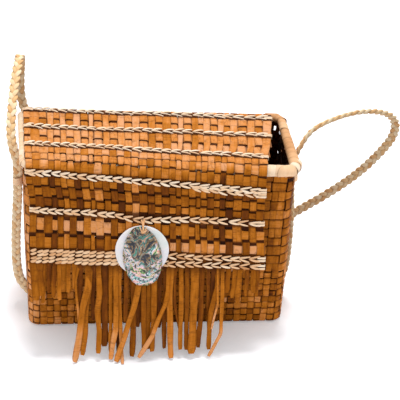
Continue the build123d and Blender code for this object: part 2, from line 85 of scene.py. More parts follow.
# Twined rows, by their lengths Q at the left and the right edge
ROWS = {
    "a": (Q_ROOF - 0.1, Q_ROOF + 7.9),
    "b": (Q_ROOF + 33.4, Q_ROOF + 42.4),
    "c": (Q_ROOF + 65.9, Q_ROOF + 83.9),
    "d": (Q_LEAF + 1.0, Q_LEAF + 16.5),
    "e": (Q_LEAF + 38.2, Q_LEAF + 49.3),
    "f": (Q_LEAF + 81.0, Q_LEAF + 85.5),
    "g": (Q_LEAF + 89.0, Q_LEAF + 93.5),
}
LEAF_END = (Q_LEAF + 92.5, Q_LEAF + 97.5)
TWINE_WIDTH = 4.6
PENDANT_X = -12.6
WARPS = 34
STRIP_THICK, RIBBON_THICK, THIN = 0.8, 0.7, 0.6
WEAVE = 0.55


def drawn(mean, spread, low, high, size=None):
    """Random values about a mean, kept between two bounds."""
    return np.clip(rng.normal(mean, spread, size), low, high)


def smooth(t):
    t = np.clip(t, 0.0, 1.0)
    return t * t * (3 - 2 * t)


def unit(v):
    return v / np.maximum(np.linalg.norm(v, axis=-1, keepdims=True), 1e-9)


def between(ends, share):
    return ends[0] + (ends[1] - ends[0]) * share


def run_along(line):
    """Length along a line at each of its points."""
    return np.concatenate([[0], np.cumsum(np.linalg.norm(np.diff(line, axis=0), axis=1))])


def points_at(run, line_run, line):
    """Points on a line at lengths along it."""
    return np.stack([np.interp(run, line_run, line[:, k]) for k in range(3)], -1)


def from_rim(x, y, z):
    """Points of the rim plane's own frame, in the frame of the CAD model."""
    x, y, z = np.broadcast_arrays(x, y, z)
    flat = x[..., None] * RIM_X + z[..., None] * RIM_Z
    return flat + np.stack([np.zeros_like(y), y, np.full_like(y, RIM_HEIGHT)], -1)


def profile(q):
    """Outer profile of the flap at lengths q: y, z and the outward normal, in the rim's frame."""
    back = pi / 2 - np.clip(q, 0, Q_ROOF) / BACK_RADIUS
    run = np.clip(q - Q_ROOF, 0, ROOF_RUN)
    bend = np.clip(q - Q_BEND, 0, Q_LEAF - Q_BEND) / BEND_RADIUS
    drop = np.maximum(q - Q_LEAF, 0)
    zones = [q > Q_BEND, q > Q_ROOF]
    leaf_y = BEND_Y - BEND_RADIUS * np.sin(bend) - drop * sin(FLARE)
    leaf_z = BEND_Z + BEND_RADIUS * np.cos(bend) - drop * cos(FLARE)
    roof_y = BACK_BEND_Y - run * cos(ROOF_SLOPE)
    roof_z = BACK_BEND_Z + BACK_RADIUS + run * sin(ROOF_SLOPE)
    back_z = BACK_BEND_Z + BACK_RADIUS * np.cos(back) + np.minimum(q, 0)
    y = np.select(zones, [leaf_y, roof_y], BACK_BEND_Y + BACK_RADIUS * np.sin(back))
    z = np.select(zones, [leaf_z, roof_z], back_z)
    normal_y = np.select(zones, [-np.sin(bend), sin(ROOF_SLOPE)], np.sin(back))
    normal_z = np.select(zones, [np.cos(bend), cos(ROOF_SLOPE)], np.cos(back))
    return y, z, normal_y, normal_z


def flap_sag(x, q):
    """How far the flap's face stands out of true."""
    return 0.35 * np.sin(x * 0.045 + 0.6) * np.sin(q * 0.052) + 0.2 * np.sin(x * 0.11 + q * 0.07)


def flap_at(x, q, out):
    """Points on the flap, from a place across, a length along and a distance out of its face."""
    y, z, normal_y, normal_z = profile(q)
    out = out + flap_sag(x, q)
    return from_rim(x, y + out * normal_y, z + out * normal_z)


def flap_normal(q):
    _, _, y, z = profile(q)
    return z[..., None] * RIM_Z + np.stack([np.zeros_like(y), y, np.zeros_like(y)], -1)


def flap_edges(q):
    """Left and right edge of the flap at lengths q. The leaf is drawn in on the left, below its
    first row, and the bend on the right."""
    y = np.clip(profile(q)[0], FOLD_Y, HINGE_Y)
    share = (y - FOLD_Y) / (BACK_EDGE_Y - FOLD_Y)
    drawn_in = 4.8 * smooth((q - Q_LEAF - 4.0) / 32.0)
    waist = 3.0 * smooth((q - Q_ROOF - 60.0) / 25.0) * (1 - smooth((q - Q_LEAF - 45.0) / 35.0))
    left, right = (between(ends, share) for ends in zip(LEAF_SPAN, BACK_SPAN))
    return left + drawn_in, right - waist


def flap_x(f, q):
    """Place across at a share f of the flap's width."""
    return between(flap_edges(q), f)


def row_q(row, f):
    return between(ROWS[row], f)


# Cross-section of a strip: across from -1 to 1, up in thicknesses, and how much painted shade it has there
ACROSS = np.array([-1, -0.92, -0.5, 0, 0.5, 0.92, 1, 0.92, 0, -0.92])
UP = np.array([-0.1, 0.38, 0.5, 0.54, 0.5, 0.38, -0.1, -0.45, -0.5, -0.45])
# Painted shade: strips are dark at their edges where they meet, and on their undersides, darkest on the
# walls, whose inside is in shade
WALL_SHADE = np.array([0.7, 0.12, 0, 0, 0, 0.12, 0.7, 0.9, 0.85, 0.9])
FLAP_SHADE = np.array([0.7, 0.12, 0, 0, 0, 0.12, 0.7, 0.5, 0.38, 0.5])
FREE_SHADE = np.array([0.5, 0.2, 0, 0, 0, 0.2, 0.5, 0.35, 0.3, 0.35])
TWINE_SHADE = np.array([0.6, 0.14, 0, 0, 0, 0.14, 0.6, 0.55, 0.45, 0.55])
SECTION = len(ACROSS)
GRAIN_LENGTH = 900


def link_piece(name, mesh, material, sharp, values):
    """An object with a material, smooth up to an angle in degrees, and values on its points."""
    for label, given in values.items():
        made = mesh.attributes.new(label, "FLOAT", "POINT")
        made.data.foreach_set("value", given.astype(np.float32))
    mesh.shade_smooth()
    mesh.set_sharp_from_angle(angle=radians(sharp))
    mesh.materials.append(material)
    piece = bpy.data.objects.new(name, mesh)
    bpy.context.scene.collection.objects.link(piece)
    return piece


class Strips:
    """Strips of bark or fibre gathered into one mesh, each with its own tone and grain."""

    def __init__(self, section_shade=FREE_SHADE):
        self.points, self.faces, self.caps = [], [], []
        self.grain, self.tone, self.edge = [], [], []
        self.count = 0
        self.section_shade = section_shade

    def add(self, grid, widths, tone, shade=None):
        """A strip from its sections, an array of stations by section points."""
        stations = len(grid)
        widths = np.broadcast_to(widths, (stations,))
        u = np.repeat((run_along(grid.mean(1)) + rng.uniform(0, GRAIN_LENGTH))[:, None], SECTION, 1)
        v = widths[:, None] / 2 * ACROSS + rng.uniform(0, GRAIN_LENGTH)
        ring = self.count + np.arange(stations * SECTION).reshape(stations, SECTION)
        after = np.roll(ring, -1, axis=1)
        self.faces.append(np.stack([ring[:-1], after[:-1], after[1:], ring[1:]], -1).reshape(-1, 4))
        self.caps += [ring[0, ::-1].tolist(), ring[-1].tolist()]
        self.points.append(grid.reshape(-1, 3))
        self.grain.append(np.stack([u, v], -1).reshape(-1, 2))
        tones = np.asarray(tone, float).reshape(-1, 1)
        self.tone.append(np.broadcast_to(tones, (stations, SECTION)).reshape(-1))
        # Painted shade along the strip: the section's shade at its edges and underside, and any shade given
        # for its length
        dark = np.broadcast_to(self.section_shade, (stations, SECTION))
        if shade is not None:
            dark = np.maximum(dark, np.asarray(shade)[:, None])
        self.edge.append(dark.reshape(-1))
        self.count += stations * SECTION

    def ribbon(self, centre, normal, widths, tone, thick=RIBBON_THICK, tilt=0.0, shade=None):
        """A free ribbon along a line, its face towards the normal and tilted about the line."""
        tangent = unit(np.gradient(centre, axis=0))
        normal = unit(normal - tangent * (normal * tangent).sum(-1, keepdims=True))
        side = np.cross(tangent, normal)
        tilt = np.asarray(tilt, float).reshape(-1, 1)
        c, s = np.cos(tilt), np.sin(tilt)
        side, normal = side * c + normal * s, normal * c - side * s
        wide = ACROSS[:, None] * np.broadcast_to(widths, (len(centre),))[:, None, None] / 2
        grid = centre[:, None] + side[:, None] * wide + normal[:, None] * (UP[:, None] * thick)
        self.add(grid, widths, tone, shade)

    def build(self, name, material):
        mesh = bpy.data.meshes.new(name)
        quads = np.concatenate(self.faces)
        mesh.from_pydata((np.concatenate(self.points) * MM).tolist(), [], quads.tolist() + self.caps)
        loops = np.concatenate([quads.ravel(), np.ravel(self.caps)])
        layer = mesh.uv_layers.new(name="grain")
        layer.data.foreach_set("uv", np.concatenate(self.grain)[loops].ravel().astype(np.float32))
        values = {"tone": np.concatenate(self.tone), "edge": np.concatenate(self.edge)}
        return link_piece(name, mesh, material, 48, values)


# Materials
def linear(*rgb):
    """A colour from its values on a screen, 0 to 255."""
    return tuple(((c / 255 + 0.055) / 1.055) ** 2.4 if c > 10 else c / 3294 for c in rgb) + (1.0,)


def stops(*rows):
    """Stops of a ramp from rows of a place and its red, green and blue."""
    return [(where, linear(*rgb)) for where, *rgb in rows]


BLACK, WHITE = (0, 0, 0, 1), (1, 1, 1, 1)


class Nodes:
    """Short hand for the nodes of a material or a world, named with its main shader."""

    def __init__(self, owner, main="Principled BSDF"):
        owner.use_nodes = True
        self.owner = owner
        self.tree = owner.node_tree
        self.surface = self.tree.nodes[main]

    def new(self, kind, **values):
        """A node with settings and, under their labels, values of its inputs."""
        node = self.tree.nodes.new(kind)
        for key, value in values.items():
            if hasattr(node, key):
                setattr(node, key, value)
            else:
                node.inputs[key.replace("_", " ")].default_value = value
        return node

    def link(self, output, target):
        self.tree.links.new(output, target)

    def feed(self, sockets, values):
        """Give each socket its value, or link it to an output."""
        for socket, value in zip(sockets, values):
            if isinstance(value, bpy.types.NodeSocket):
                self.link(value, socket)
            else:
                socket.default_value = value

    def attribute(self, name):
        return self.new("ShaderNodeAttribute", attribute_name=name).outputs["Fac"]

    def ramp(self, factor, places):
        node = self.new("ShaderNodeValToRGB")
        elements = node.color_ramp.elements
        while len(elements) < len(places):
            elements.new(1.0)
        for element, (where, colour) in zip(elements, places):
            element.position = where
            element.color = colour
        self.link(factor, node.inputs["Fac"])
        return node.outputs["Color"]

    def mix(self, kind, factor, a, b):
        node = self.new("ShaderNodeMix", data_type="RGBA", blend_type=kind)
        self.feed((node.inputs[0], node.inputs[6], node.inputs[7]), (factor, a, b))
        return node.outputs[2]

    def math(self, kind, a, b):
        node = self.new("ShaderNodeMath", operation=kind)
        self.feed(node.inputs, (a, b))
        return node.outputs[0]

    def about(self, value, middle, strength):
        """A value taken about its middle and scaled."""
        return self.math("MULTIPLY", self.math("SUBTRACT", value, middle), strength)

    def coordinates(self, source, scale=(1.0, 1.0, 1.0)):
        mapping = self.new("ShaderNodeMapping", Scale=scale)
        self.link(self.new("ShaderNodeTexCoord").outputs[source], mapping.inputs["Vector"])
        return mapping.outputs[0]

    def noise(self, vector, scale=1.0, detail=3.0, roughness=0.55, distortion=0.0):
        values = {"Scale": scale, "Detail": detail, "Roughness": roughness, "Distortion": distortion}
        node = self.new("ShaderNodeTexNoise", **values)
        self.link(vector, node.inputs["Vector"])
        return node.outputs["Fac"]

    def finish(self, colour, height, relief, strength=1.0, **values):
        """Link the colour and a bump of a height in metres, and set the shader's other inputs."""
        bump = self.new("ShaderNodeBump", Distance=relief, Strength=strength)
        self.link(height, bump.inputs["Height"])
        self.link(bump.outputs[0], self.surface.inputs["Normal"])
        self.link(colour, self.surface.inputs["Base Color"])
        for key, value in values.items():
            self.surface.inputs[key.replace("_", " ")].default_value = value
        return self.owner


def fibre_material(name, tones, dark, grain, streak, rough, bump, mottle=0.35, marks=0.0):
    """Strips of bark or raffia: a tone for each strip, streaks along it and painted shade from the edge
    value.
    """
    n = Nodes(bpy.data.materials.new(name))
    along, across = grain
    streaks = n.noise(n.coordinates("UV", (along, across, 1.0)), detail=4.0, roughness=0.6)
    patches = n.noise(n.coordinates("UV", (along * 2.2, across * 0.16, 1.0)))
    tone = n.math("ADD", n.attribute("tone"), n.about(patches, 0.5, mottle))
    tone = n.math("ADD", tone, n.about(streaks, 0.5, streak))
    colour = n.ramp(tone, tones)
    # The edge value is painted shade: it mixes the colour towards a shaded dark brown
    edge = n.math("MULTIPLY", n.attribute("edge"), dark)
    colour = n.mix("MIX", edge, colour, n.mix("MULTIPLY", 1.0, colour, linear(74, 44, 28)))
    if marks:
        knots = n.noise(n.coordinates("UV", (0.11, 0.03, 1.0)), detail=2.0)
        line = n.ramp(knots, [(0.478, BLACK), (0.5, WHITE), (0.522, BLACK)])
        colour = n.mix("MIX", n.math("MULTIPLY", line, marks), colour, linear(92, 44, 12))
    return n.finish(colour, streaks, bump, Roughness=rough, Specular_IOR_Level=0.06)


def bark_material():
    tones = stops(
        (0.0, 84, 40, 8),
        (0.2, 124, 64, 8),
        (0.4, 162, 92, 12),
        (0.6, 194, 116, 32),
        (0.78, 218, 138, 66),
        (0.9, 224, 153, 92),
        (1.0, 227, 162, 114),
    )
    looks = {"dark": 0.97, "grain": (0.035, 1.6), "streak": 0.42, "rough": 0.5, "bump": 0.00016}
    return fibre_material("bark", tones, mottle=0.5, marks=0.4, **looks)


def raffia_material():
    tones = stops((0.0, 188, 124, 72), (0.35, 229, 178, 130), (0.7, 245, 208, 169), (1.0, 252, 232, 206))
    looks = {"dark": 0.85, "grain": (0.05, 2.6), "streak": 0.4, "rough": 0.62, "bump": 0.0001}
    return fibre_material("raffia", tones, **looks)


def braid_material():
    tones = stops((0.0, 186, 120, 62), (0.4, 230, 176, 118), (0.75, 246, 208, 156), (1.0, 252, 230, 192))
    looks = {"dark": 0.8, "grain": (0.05, 2.4), "streak": 0.4, "rough": 0.65, "bump": 0.00015}
    return fibre_material("braid", tones, **looks)


def rod_material():
    n = Nodes(bpy.data.materials.new("rod"))
    grain = n.noise(n.coordinates("Object", (40.0, 40.0, 260.0)), 6.0, 5.0)
    colour = n.ramp(grain, stops((0.3, 120, 80, 44), (0.7, 168, 122, 74)))
    return n.finish(colour, grain, 0.0002, Roughness=0.6)


def pearl_material():
    n = Nodes(bpy.data.materials.new("pearl"))
    layers = n.noise(n.coordinates("Object"), 38.0, 2.0, 0.5, 1.4)
    tints = stops((0.3, 222, 228, 226), (0.45, 240, 234, 232), (0.55, 230, 228, 236), (0.7, 244, 242, 238))
    polish = {"Roughness": 0.22, "Coat Weight": 0.4, "Coat Roughness": 0.1}
    return n.finish(n.ramp(layers, tints), layers, 0.0004, 0.4, **polish)


def abalone_material():
    """Bands that follow contours of noise, dark at the top of the shell and pale at its foot."""
    n = Nodes(bpy.data.materials.new("abalone"))
    base = n.coordinates("Object")
    bands = n.math("PINGPONG", n.math("MULTIPLY", n.noise(base, 40.0, 2.0, 0.6, 1.6), 9.0), 1.0)
    fine = n.noise(base, 260.0, 3.0, 0.7, 1.2)
    key = n.math("ADD", n.math("MULTIPLY", bands, 0.8), n.about(fine, 0.34, 0.6))
    pale = stops(
        (0.08, 44, 26, 34),
        (0.2, 110, 176, 84),
        (0.28, 240, 234, 200),
        (0.38, 228, 124, 112),
        (0.5, 255, 236, 232),
        (0.6, 190, 158, 188),
        (0.7, 250, 250, 248),
        (0.8, 110, 190, 182),
        (0.92, 84, 56, 80),
    )
    deep = stops(
        (0.12, 6, 8, 16),
        (0.28, 24, 38, 66),
        (0.4, 150, 116, 58),
        (0.5, 30, 70, 68),
        (0.6, 222, 176, 136),
        (0.7, 62, 70, 106),
        (0.82, 84, 156, 130),
        (0.94, 48, 26, 46),
    )
    patches = n.about(n.noise(base, 52.0, 2.0, 0.5, 0.6), 0.5, 3.2)
    share = n.ramp(n.math("ADD", n.attribute("up"), patches), [(0.34, BLACK), (0.56, WHITE)])
    colour = n.mix("MIX", share, n.ramp(key, pale), n.ramp(key, deep))
    veins = n.noise(base, 150.0, 4.0, 0.65, 2.2)
    dark = n.ramp(veins, [(0.425, (0.02, 0.022, 0.03, 1)), (0.47, WHITE)])
    polish = {"Roughness": 0.16, "Metallic": 0.1, "Coat Weight": 0.5, "Coat Roughness": 0.06}
    return n.finish(n.mix("MULTIPLY", 0.9, colour, dark), key, 0.0005, 0.5, **polish)


MATERIALS = {
    "bark": bark_material(),
    "raffia": raffia_material(),
    "braid": braid_material(),
    "rod": rod_material(),
    "pearl": pearl_material(),
    "abalone": abalone_material(),
}


def place(strips, name, slot, nodes=(), body=None, blend=None):
    """Build gathered strips as one piece on a body, or, given a blend, as one piece fixed in place on no
    body.
    """
    piece = strips.build(name, MATERIALS[slot])
    if blend:
        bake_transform(piece)
    else:
        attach(piece, body)
    if nodes:
        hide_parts(*nodes)
    return piece


# Weft strips of the flap between its twined rows, with their centre and width at both edges
def wefts_between(first, second, count, margin=TWINE_WIDTH / 2):
    made = []
    for number in range(count):
        spans = [(first[side] + margin, second[side] - TWINE_WIDTH / 2) for side in (0, 1)]
        centres = [between(span, (number + 0.5) / count) for span in spans]
        made.append((centres, [(high - low) / count for low, high in spans]))
    return made


BANDS = [("a", "b", 2), ("b", "c", 2), ("c", "d", 3), ("d", "e", 3), ("e", "f", 2)]
wefts = [("back", one) for one in wefts_between((0.6, 0.6), ROWS["a"], 1, 0.0)]
for upper, lower, count in BANDS:
    wefts += [(upper + lower, one) for one in wefts_between(ROWS[upper], ROWS[lower], count)]
weft_bands = [where for where, _ in wefts]
# The weft above row B is loose at its left end
LOOSE_WEFT = weft_bands.index("bc") - 1

# Two wefts of the leaf with pale stretches, and how far they lie below their place
UPPER_PALE = weft_bands.index("ef")
LOWER_PALE = UPPER_PALE + 1
MOVED_DOWN = {UPPER_PALE: 2.2, LOWER_PALE: 1.4}

# The two wefts between rows on the roof pass over the same warps; from row C on they alternate
PARITY = [0, 1, 1, 1, 1] + [(j + 1) % 2 for j in range(5, len(wefts))]

# Small holes: a share of the width, and how many wefts of the band from row C to D lie above
HOLES = [(0.21, 2), (0.26, 2), (0.31, 2), (0.36, 2), (0.46, 2), (0.485, 2), (0.735, 2), (0.14, 1), (0.6, 1)]
HOLE_WIDTH, HOLE_HEIGHT = 3.4, 3.2
MEAN_WIDTH = 233.0

warp_span = np.clip(1 + 3.8 * rng.normal(0, 0.05, WARPS), 0.66, 1.4)
warp_span *= np.linspace(0.87, 1.13, WARPS)
warp_span /= warp_span.sum()
warp_edges = np.cumsum(warp_span)
warp_at = warp_edges - warp_span / 2
warp_width = drawn(0.95, 0.04, 0.86, 1.0, WARPS)
warp_width[:3] = 1.12
# Warp tones, random about a mean: the roof's are painted lighter, as lit from above, and the leaf's darker,
# as in shade
lit_roof_tone = drawn(0.76, 0.12, 0.4, 0.98, WARPS)
shaded_leaf_tone = drawn(0.34, 0.2, 0.02, 0.8, WARPS)


def parted(f, q):
    """How far strips draw apart at small holes in the flap, from 0 to 1."""
    amount = np.zeros(np.broadcast(f, q).shape)
    for share, above in HOLES:
        share = warp_edges[np.argmin(np.abs(warp_edges - share))]
        across = (f - share) * MEAN_WIDTH / HOLE_WIDTH
        level = [c + (d - c) * above / 3 for c, d in zip(ROWS["c"], ROWS["d"])]
        along = (q - between(level, share)) / HOLE_HEIGHT
        amount = amount + np.exp(-across * across - along * along)
    return np.clip(amount, 0, 1)


def step_between(position, centres, values):
    """Values held near each centre, with a quick smooth change half way between two."""
    index = np.clip(np.searchsorted(centres, position) - 1, 0, len(centres) - 2)
    t = (position - centres[index]) / (centres[index + 1] - centres[index])
    return values[index] + (values[index + 1] - values[index]) * smooth((t - 0.34) / 0.32)


def warp_lift(i, q):
    """How far a warp stands out of the middle of the flap, by the wefts it goes over or under,
    and a small change of tone from one crossing to the next."""
    f = warp_at[i]
    places = []
    for j, (_, (centres, _)) in enumerate(wefts):
        over = 1.0 if (i + PARITY[j]) % 2 == 0 else -1.0
        places.append((between(centres, f) + MOVED_DOWN.get(j, 0.0), over))
    behind = places[0][1]
    places += [(row_q(row, f), 0.0) for row in ROWS]
    places += [(-9.0, -behind), (-20.0, behind)]
    places.sort()
    centres, values = np.array(places).T
    tones = rng.normal(0, 0.055, len(centres))
    return step_between(q, centres, values), step_between(q, centres, tones)


def crossing_shade(lift, most=0.97):
    """Dark where a strip dips under the edge of the one that crosses it."""
    return most * smooth((0.55 - lift) / 0.75)


# How far from the middle of a row its pinch on the warps reaches, and that of row A; the painted shade
# under a row reaches as far
PINCH, BACK_PINCH = 2.7, 4.6


def add_warp(strips, i, start, end):
    """A warp of the flap from one length along it to another. Rows pinch the gaps beside it shut."""
    q = np.linspace(start, end, max(int((end - start) / 1.1), 4))
    lift, cells = warp_lift(i, q)
    f, span = warp_at[i], warp_span[i]
    in_row = 0
    for row in ROWS:
        reach = BACK_PINCH if row == "a" else PINCH
        in_row = in_row + smooth((reach - np.abs(q - row_q(row, f))) / 0.8)
    left, right = flap_edges(q)
    share = warp_width[i] + (1.0 - warp_width[i]) * in_row
    width = (right - left) * span * share * (1 + 0.05 * np.sin(q * 0.21 + i))
    width = width * (1 - 0.28 * np.maximum(parted(f - span / 2, q), parted(f + span / 2, q)))
    x = flap_x(f, q) + 0.35 * np.sin(q * 0.06 + 2.1 * i)
    # Painted light and shade: the tone falls from the lit roof to the shaded leaf past the bend
    tone = lit_roof_tone[i] + (shaded_leaf_tone[i] - lit_roof_tone[i]) * smooth((q - Q_BEND) / 22) + cells
    tone = tone + 0.09 * smooth((q - row_q("e", f)) / 6) + 0.08 * smooth((row_q("b", f) - q) / 4)
    tone = tone + (0.42 - tone) * smooth((6.0 - q) / 8.0)
    out = MIDDLE + WEAVE * lift
    across = x[:, None] - ACROSS * width[:, None] / 2
    grid = flap_at(across, q[:, None], out[:, None] + UP * STRIP_THICK)
    # Painted shade where the warp dips under a weft and beneath the twined rows
    strips.add(grid, width, tone, np.maximum(crossing_shade(lift), 0.9 * in_row))


WEFT_GAPS = {"de": 3.6, "ef": 7.4}
ROOF_GAP = 2.5


def weft_tone(j, where, f):
    """Tone along a weft of the flap, painted darker on the leaf as shade and lighter on the roof as light.
    """
    mean = 0.42 if where in ("de", "ef") else 0.78
    tone = np.full(len(f), drawn(mean, 0.1, 0.12, 0.95))
    tone = tone + {"ef": 0.1, "ab": 0.08}.get(where, 0.0)
    tone = tone + 0.1 * np.sin(f * 7 + j * 2.3)
    if where == "cd" and j % 3 == 1:
        tone = tone - 0.12
    if j == UPPER_PALE:
        tone = tone + 0.2 * smooth((0.42 - f) / 0.06)
    if j == LOWER_PALE:
        tone = tone + 0.34 * smooth((f - 0.52) / 0.04)
    if where == "back":
        tone = tone - 0.28
    return np.clip(tone + step_between(f, warp_at, rng.normal(0, 0.06, WARPS)), 0.03, 0.99)


def add_weft(strips, j, where, weft):
    """A weft across the flap, or across its narrower panel behind the rim."""
    ends = (0.0, 1.0)
    if where == "back":
        panel = (-BACK_PANEL_HALF, BACK_PANEL_HALF)
        ends = [(end - BACK_SPAN[0]) / (BACK_SPAN[1] - BACK_SPAN[0]) for end in panel]
    f = np.linspace(*ends, 230)
    q, width = (between(at_edges, f) for at_edges in weft)
    x = flap_x(f, q)
    lift = step_between(f, warp_at, np.where((np.arange(WARPS) + PARITY[j]) % 2 == 0, -1.0, 1.0))
    if where in ("ab", "bc"):
        q = q + (0.35 if weft_bands[j - 1] == where else -0.35)
    uneven = 1 + 0.06 * np.sin(f * 21 + 3 * j) + 0.05 * np.sin(f * 61 + j)
    width = (width - WEFT_GAPS.get(where, ROOF_GAP)) * uneven
    if where == "cd":
        width = width - 2.0 * np.maximum(parted(f, q - 2.8), parted(f, q + 2.8))
    q = q + MOVED_DOWN.get(j, 0.0) + 0.4 * np.sin(f * 9 + 1.7 * j) + 0.25 * np.sin(f * 31 + 0.9 * j)
    if j == LOOSE_WEFT:
        loose = smooth((0.17 - f) / 0.12)
        width, q = width - 2.4 * loose, q - 1.2 * loose
    out = MIDDLE + WEAVE * lift
    along = q[:, None] + ACROSS * width[:, None] / 2
    grid = flap_at(x[:, None], along, out[:, None] + UP * STRIP_THICK)
    strips.add(grid, width, weft_tone(j, where, f), crossing_shade(lift, 0.68))


# Where the flap bends: up the back rim, and across the middle of the front arc
BEND_SPLIT = radians(38.0)
BEND_REACH = 5.2
BACK_BLEND = ("bag", "flap_roof", *(tuple(from_rim(0.0, HINGE_Y, z) * MM) for z in (-7.0, 4.3)))
crease_y = BEND_Y - BEND_RADIUS * sin(BEND_SPLIT)
crease_z = BEND_Z + BEND_RADIUS * cos(BEND_SPLIT)
crease = [
    tuple(from_rim(0.0, crease_y - reach * cos(BEND_SPLIT), crease_z - reach * sin(BEND_SPLIT)) * MM)
    for reach in (-BEND_REACH, BEND_REACH)
]
FRONT_BLEND = ("flap_roof", "flap_front", *crease)

back_warps, front_warps = Strips(FLAP_SHADE), Strips(FLAP_SHADE)
for i, f in enumerate(warp_at):
    behind_rim = abs(flap_x(f, np.array([0.0]))[0]) < BACK_PANEL_HALF - 3
    add_warp(back_warps, i, -11.0 if behind_rim else Q_ROOF - 3.5, row_q("b", f))
    add_warp(front_warps, i, row_q("b", f), between(LEAF_END, f) - 1.0)
place(back_warps, "flap_back_warps", "bark", blend=BACK_BLEND)
place(front_warps, "flap_front_warps", "bark", blend=FRONT_BLEND)

back_weft, roof_wefts, fold_wefts, front_wefts = (Strips(FLAP_SHADE) for _ in range(4))
for j, (where, weft) in enumerate(wefts):
    gathered = {"back": back_weft, "ab": roof_wefts, "bc": roof_wefts, "cd": fold_wefts}
    add_weft(gathered.get(where, front_wefts), j, where, weft)
place(back_weft, "flap_back_weft", "bark", blend=BACK_BLEND)
place(roof_wefts, "flap_roof_wefts", "bark", ["flap_roof_panel"], body="flap_roof")
place(fold_wefts, "flap_fold_wefts", "bark", blend=FRONT_BLEND)
place(front_wefts, "flap_front_wefts", "bark", ["flap_front_panel"], body="flap_front")


# Twined rows: the two strands of each stitch open to the right like an arrow's barbs
ROW_INSET = 1.5 / 236.0
TWINE_THICK = 0.85
# The tie pulls row E down about it, and rows F and G lie flat where the disc swings over them
TIE_PULL, TIE_REACH = 3.4, 26.0
DISC_SWEEP = 47.0


def twined_row(
    row,
    count=25,
    span=(0.0, 1.0),
    shift=((0.0, 1.0), (0.0, 0.0)),
    inner=True,
    growth=0.15,
    slanted=0.0,
    open_to=2.3,
    mean_tone=0.84,
):
    """A row of stitches that get longer to the right by growth. Up to the share slanted both
    strands rise. The shift moves stitches down: shares of the width, and how far at each."""
    strips = Strips(TWINE_SHADE)
    t = np.linspace(0, 1, 12)
    bulge = np.sin(pi * (0.08 + 0.84 * t))
    # Painted shade where each strand starts, tucked in the shadow of the stitch before
    tucked_shade = 0.7 * smooth((0.16 - t) / 0.16)
    for k in range(count):
        loose = rng.normal(0, 0.3)
        begun = k + rng.normal(0, 0.06)
        for side in (-1, 1):
            tone = drawn(mean_tone, 0.15, 0.15, 1.0)
            stitch = (begun + t * rng.uniform(0.98, 1.16) - 0.1) / (count + 0.25)
            along = stitch * (1 - growth) + growth * stitch**2
            along = np.clip(between(span, along), 0.0, 1.0)
            spread = 0.25 + open_to * (1 + rng.normal(0, 0.2)) * t**0.85
            broad = 0.88 if row in "abc" else 1.0
            if along[0] < slanted:
                broad = 1.35
                spread = 0.6 + 2.1 * t if side == -1 else 2.8 - 2.2 * t
            opening = side * spread + loose
            f = ROW_INSET + (1 - 2 * ROW_INSET) * along
            q = row_q(row, f) + opening + np.interp(along, *shift)
            x = flap_x(f, q)
            if row == "e":
                q = q + TIE_PULL * np.exp(-(((x - PENDANT_X) / TIE_REACH) ** 2))
            behind = smooth((DISC_SWEEP - np.abs(x - PENDANT_X)) / 5.0) * (row in "fg")
            out = 0.05 + (0.95 * bulge + 0.25 * t) * (1 - 0.6 * behind) - flap_sag(x, q) * behind
            width = (1.55 + 0.28 * open_to) * broad * (0.3 + 0.7 * bulge) * rng.uniform(0.8, 1.15)
            centre = flap_at(x, q, out)
            strips.ribbon(centre, flap_normal(q), width, tone, TWINE_THICK, 0.2 * side, tucked_shade)
            if inner and side == 1:
                under = flap_at(x, q - opening + 0.2, -FLAP_THICK - 0.1 - 0.5 * bulge)
                strips.ribbon(under, -flap_normal(q), 3.4 * (0.36 + 0.64 * bulge), tone * 0.8)
    return strips


def add_row_ends(strips, row, sign=1, shift=0.0):
    """Flat turns of raffia that take a row's strands round the flap's right edge, or left for -1."""
    radius = FLAP_THICK / 2 + 0.65
    t = np.linspace(0, 1, 22)
    turn = pi * smooth((t - 0.42) / 0.16)
    f = (sign + 1) / 2
    for lane in (-1, 1):
        q = np.full(len(t), row_q(row, f) + shift + lane * 1.25 + rng.normal(0, 0.1))
        inward = np.where(t < 0.5, (0.45 - t) / 0.45, (t - 0.55) / 0.45).clip(0) * (8.0 + lane)
        x = flap_edges(q)[int(f)] - sign * (inward + 0.2) + sign * radius * np.sin(turn) * 0.55
        centre = flap_at(x, q, MIDDLE + radius * np.cos(turn))
        normal = flap_normal(q) * np.cos(turn)[:, None] + sign * RIM_X * np.sin(turn)[:, None]
        width = 2.2 * (0.75 + 0.25 * np.sin(pi * t))
        strips.ribbon(centre, normal, width, 0.8 + rng.normal(0, 0.06), THIN)


for row, tone in {"a": 0.95, "b": 0.88, "c": 0.86, "d": 0.8, "e": 0.66}.items():
    body, open_to = ("flap_roof", 3.0) if row in "abc" else ("flap_front", 2.3)
    strips = twined_row(row, open_to=open_to, mean_tone=tone)
    add_row_ends(strips, row)
    add_row_ends(strips, row, sign=-1)
    place(strips, "twined_strands_" + row, "raffia", ["twined_row_" + row], body=body)
LOWER_SHIFT = ((0.69, 0.8, 1.0), (1.6, 3.9, 4.5))
strips = twined_row("d", 8, (0.69, 1.0), LOWER_SHIFT, inner=False, growth=0.0, mean_tone=0.8)
add_row_ends(strips, "d", shift=4.6)
place(strips, "twined_strands_d_lower", "raffia", body="flap_front")
for row, raised, nodes in (("f", 0.0, ["twined_band_f"]), ("g", -0.5, [])):
    shift = ((0.0, 1.0), (raised, raised))
    strips = twined_row(row, 29, shift=shift, growth=0.28, slanted=0.4, mean_tone=0.48)
    add_row_ends(strips, row)
    place(strips, "twined_strands_" + row, "raffia", nodes, body="flap_front")

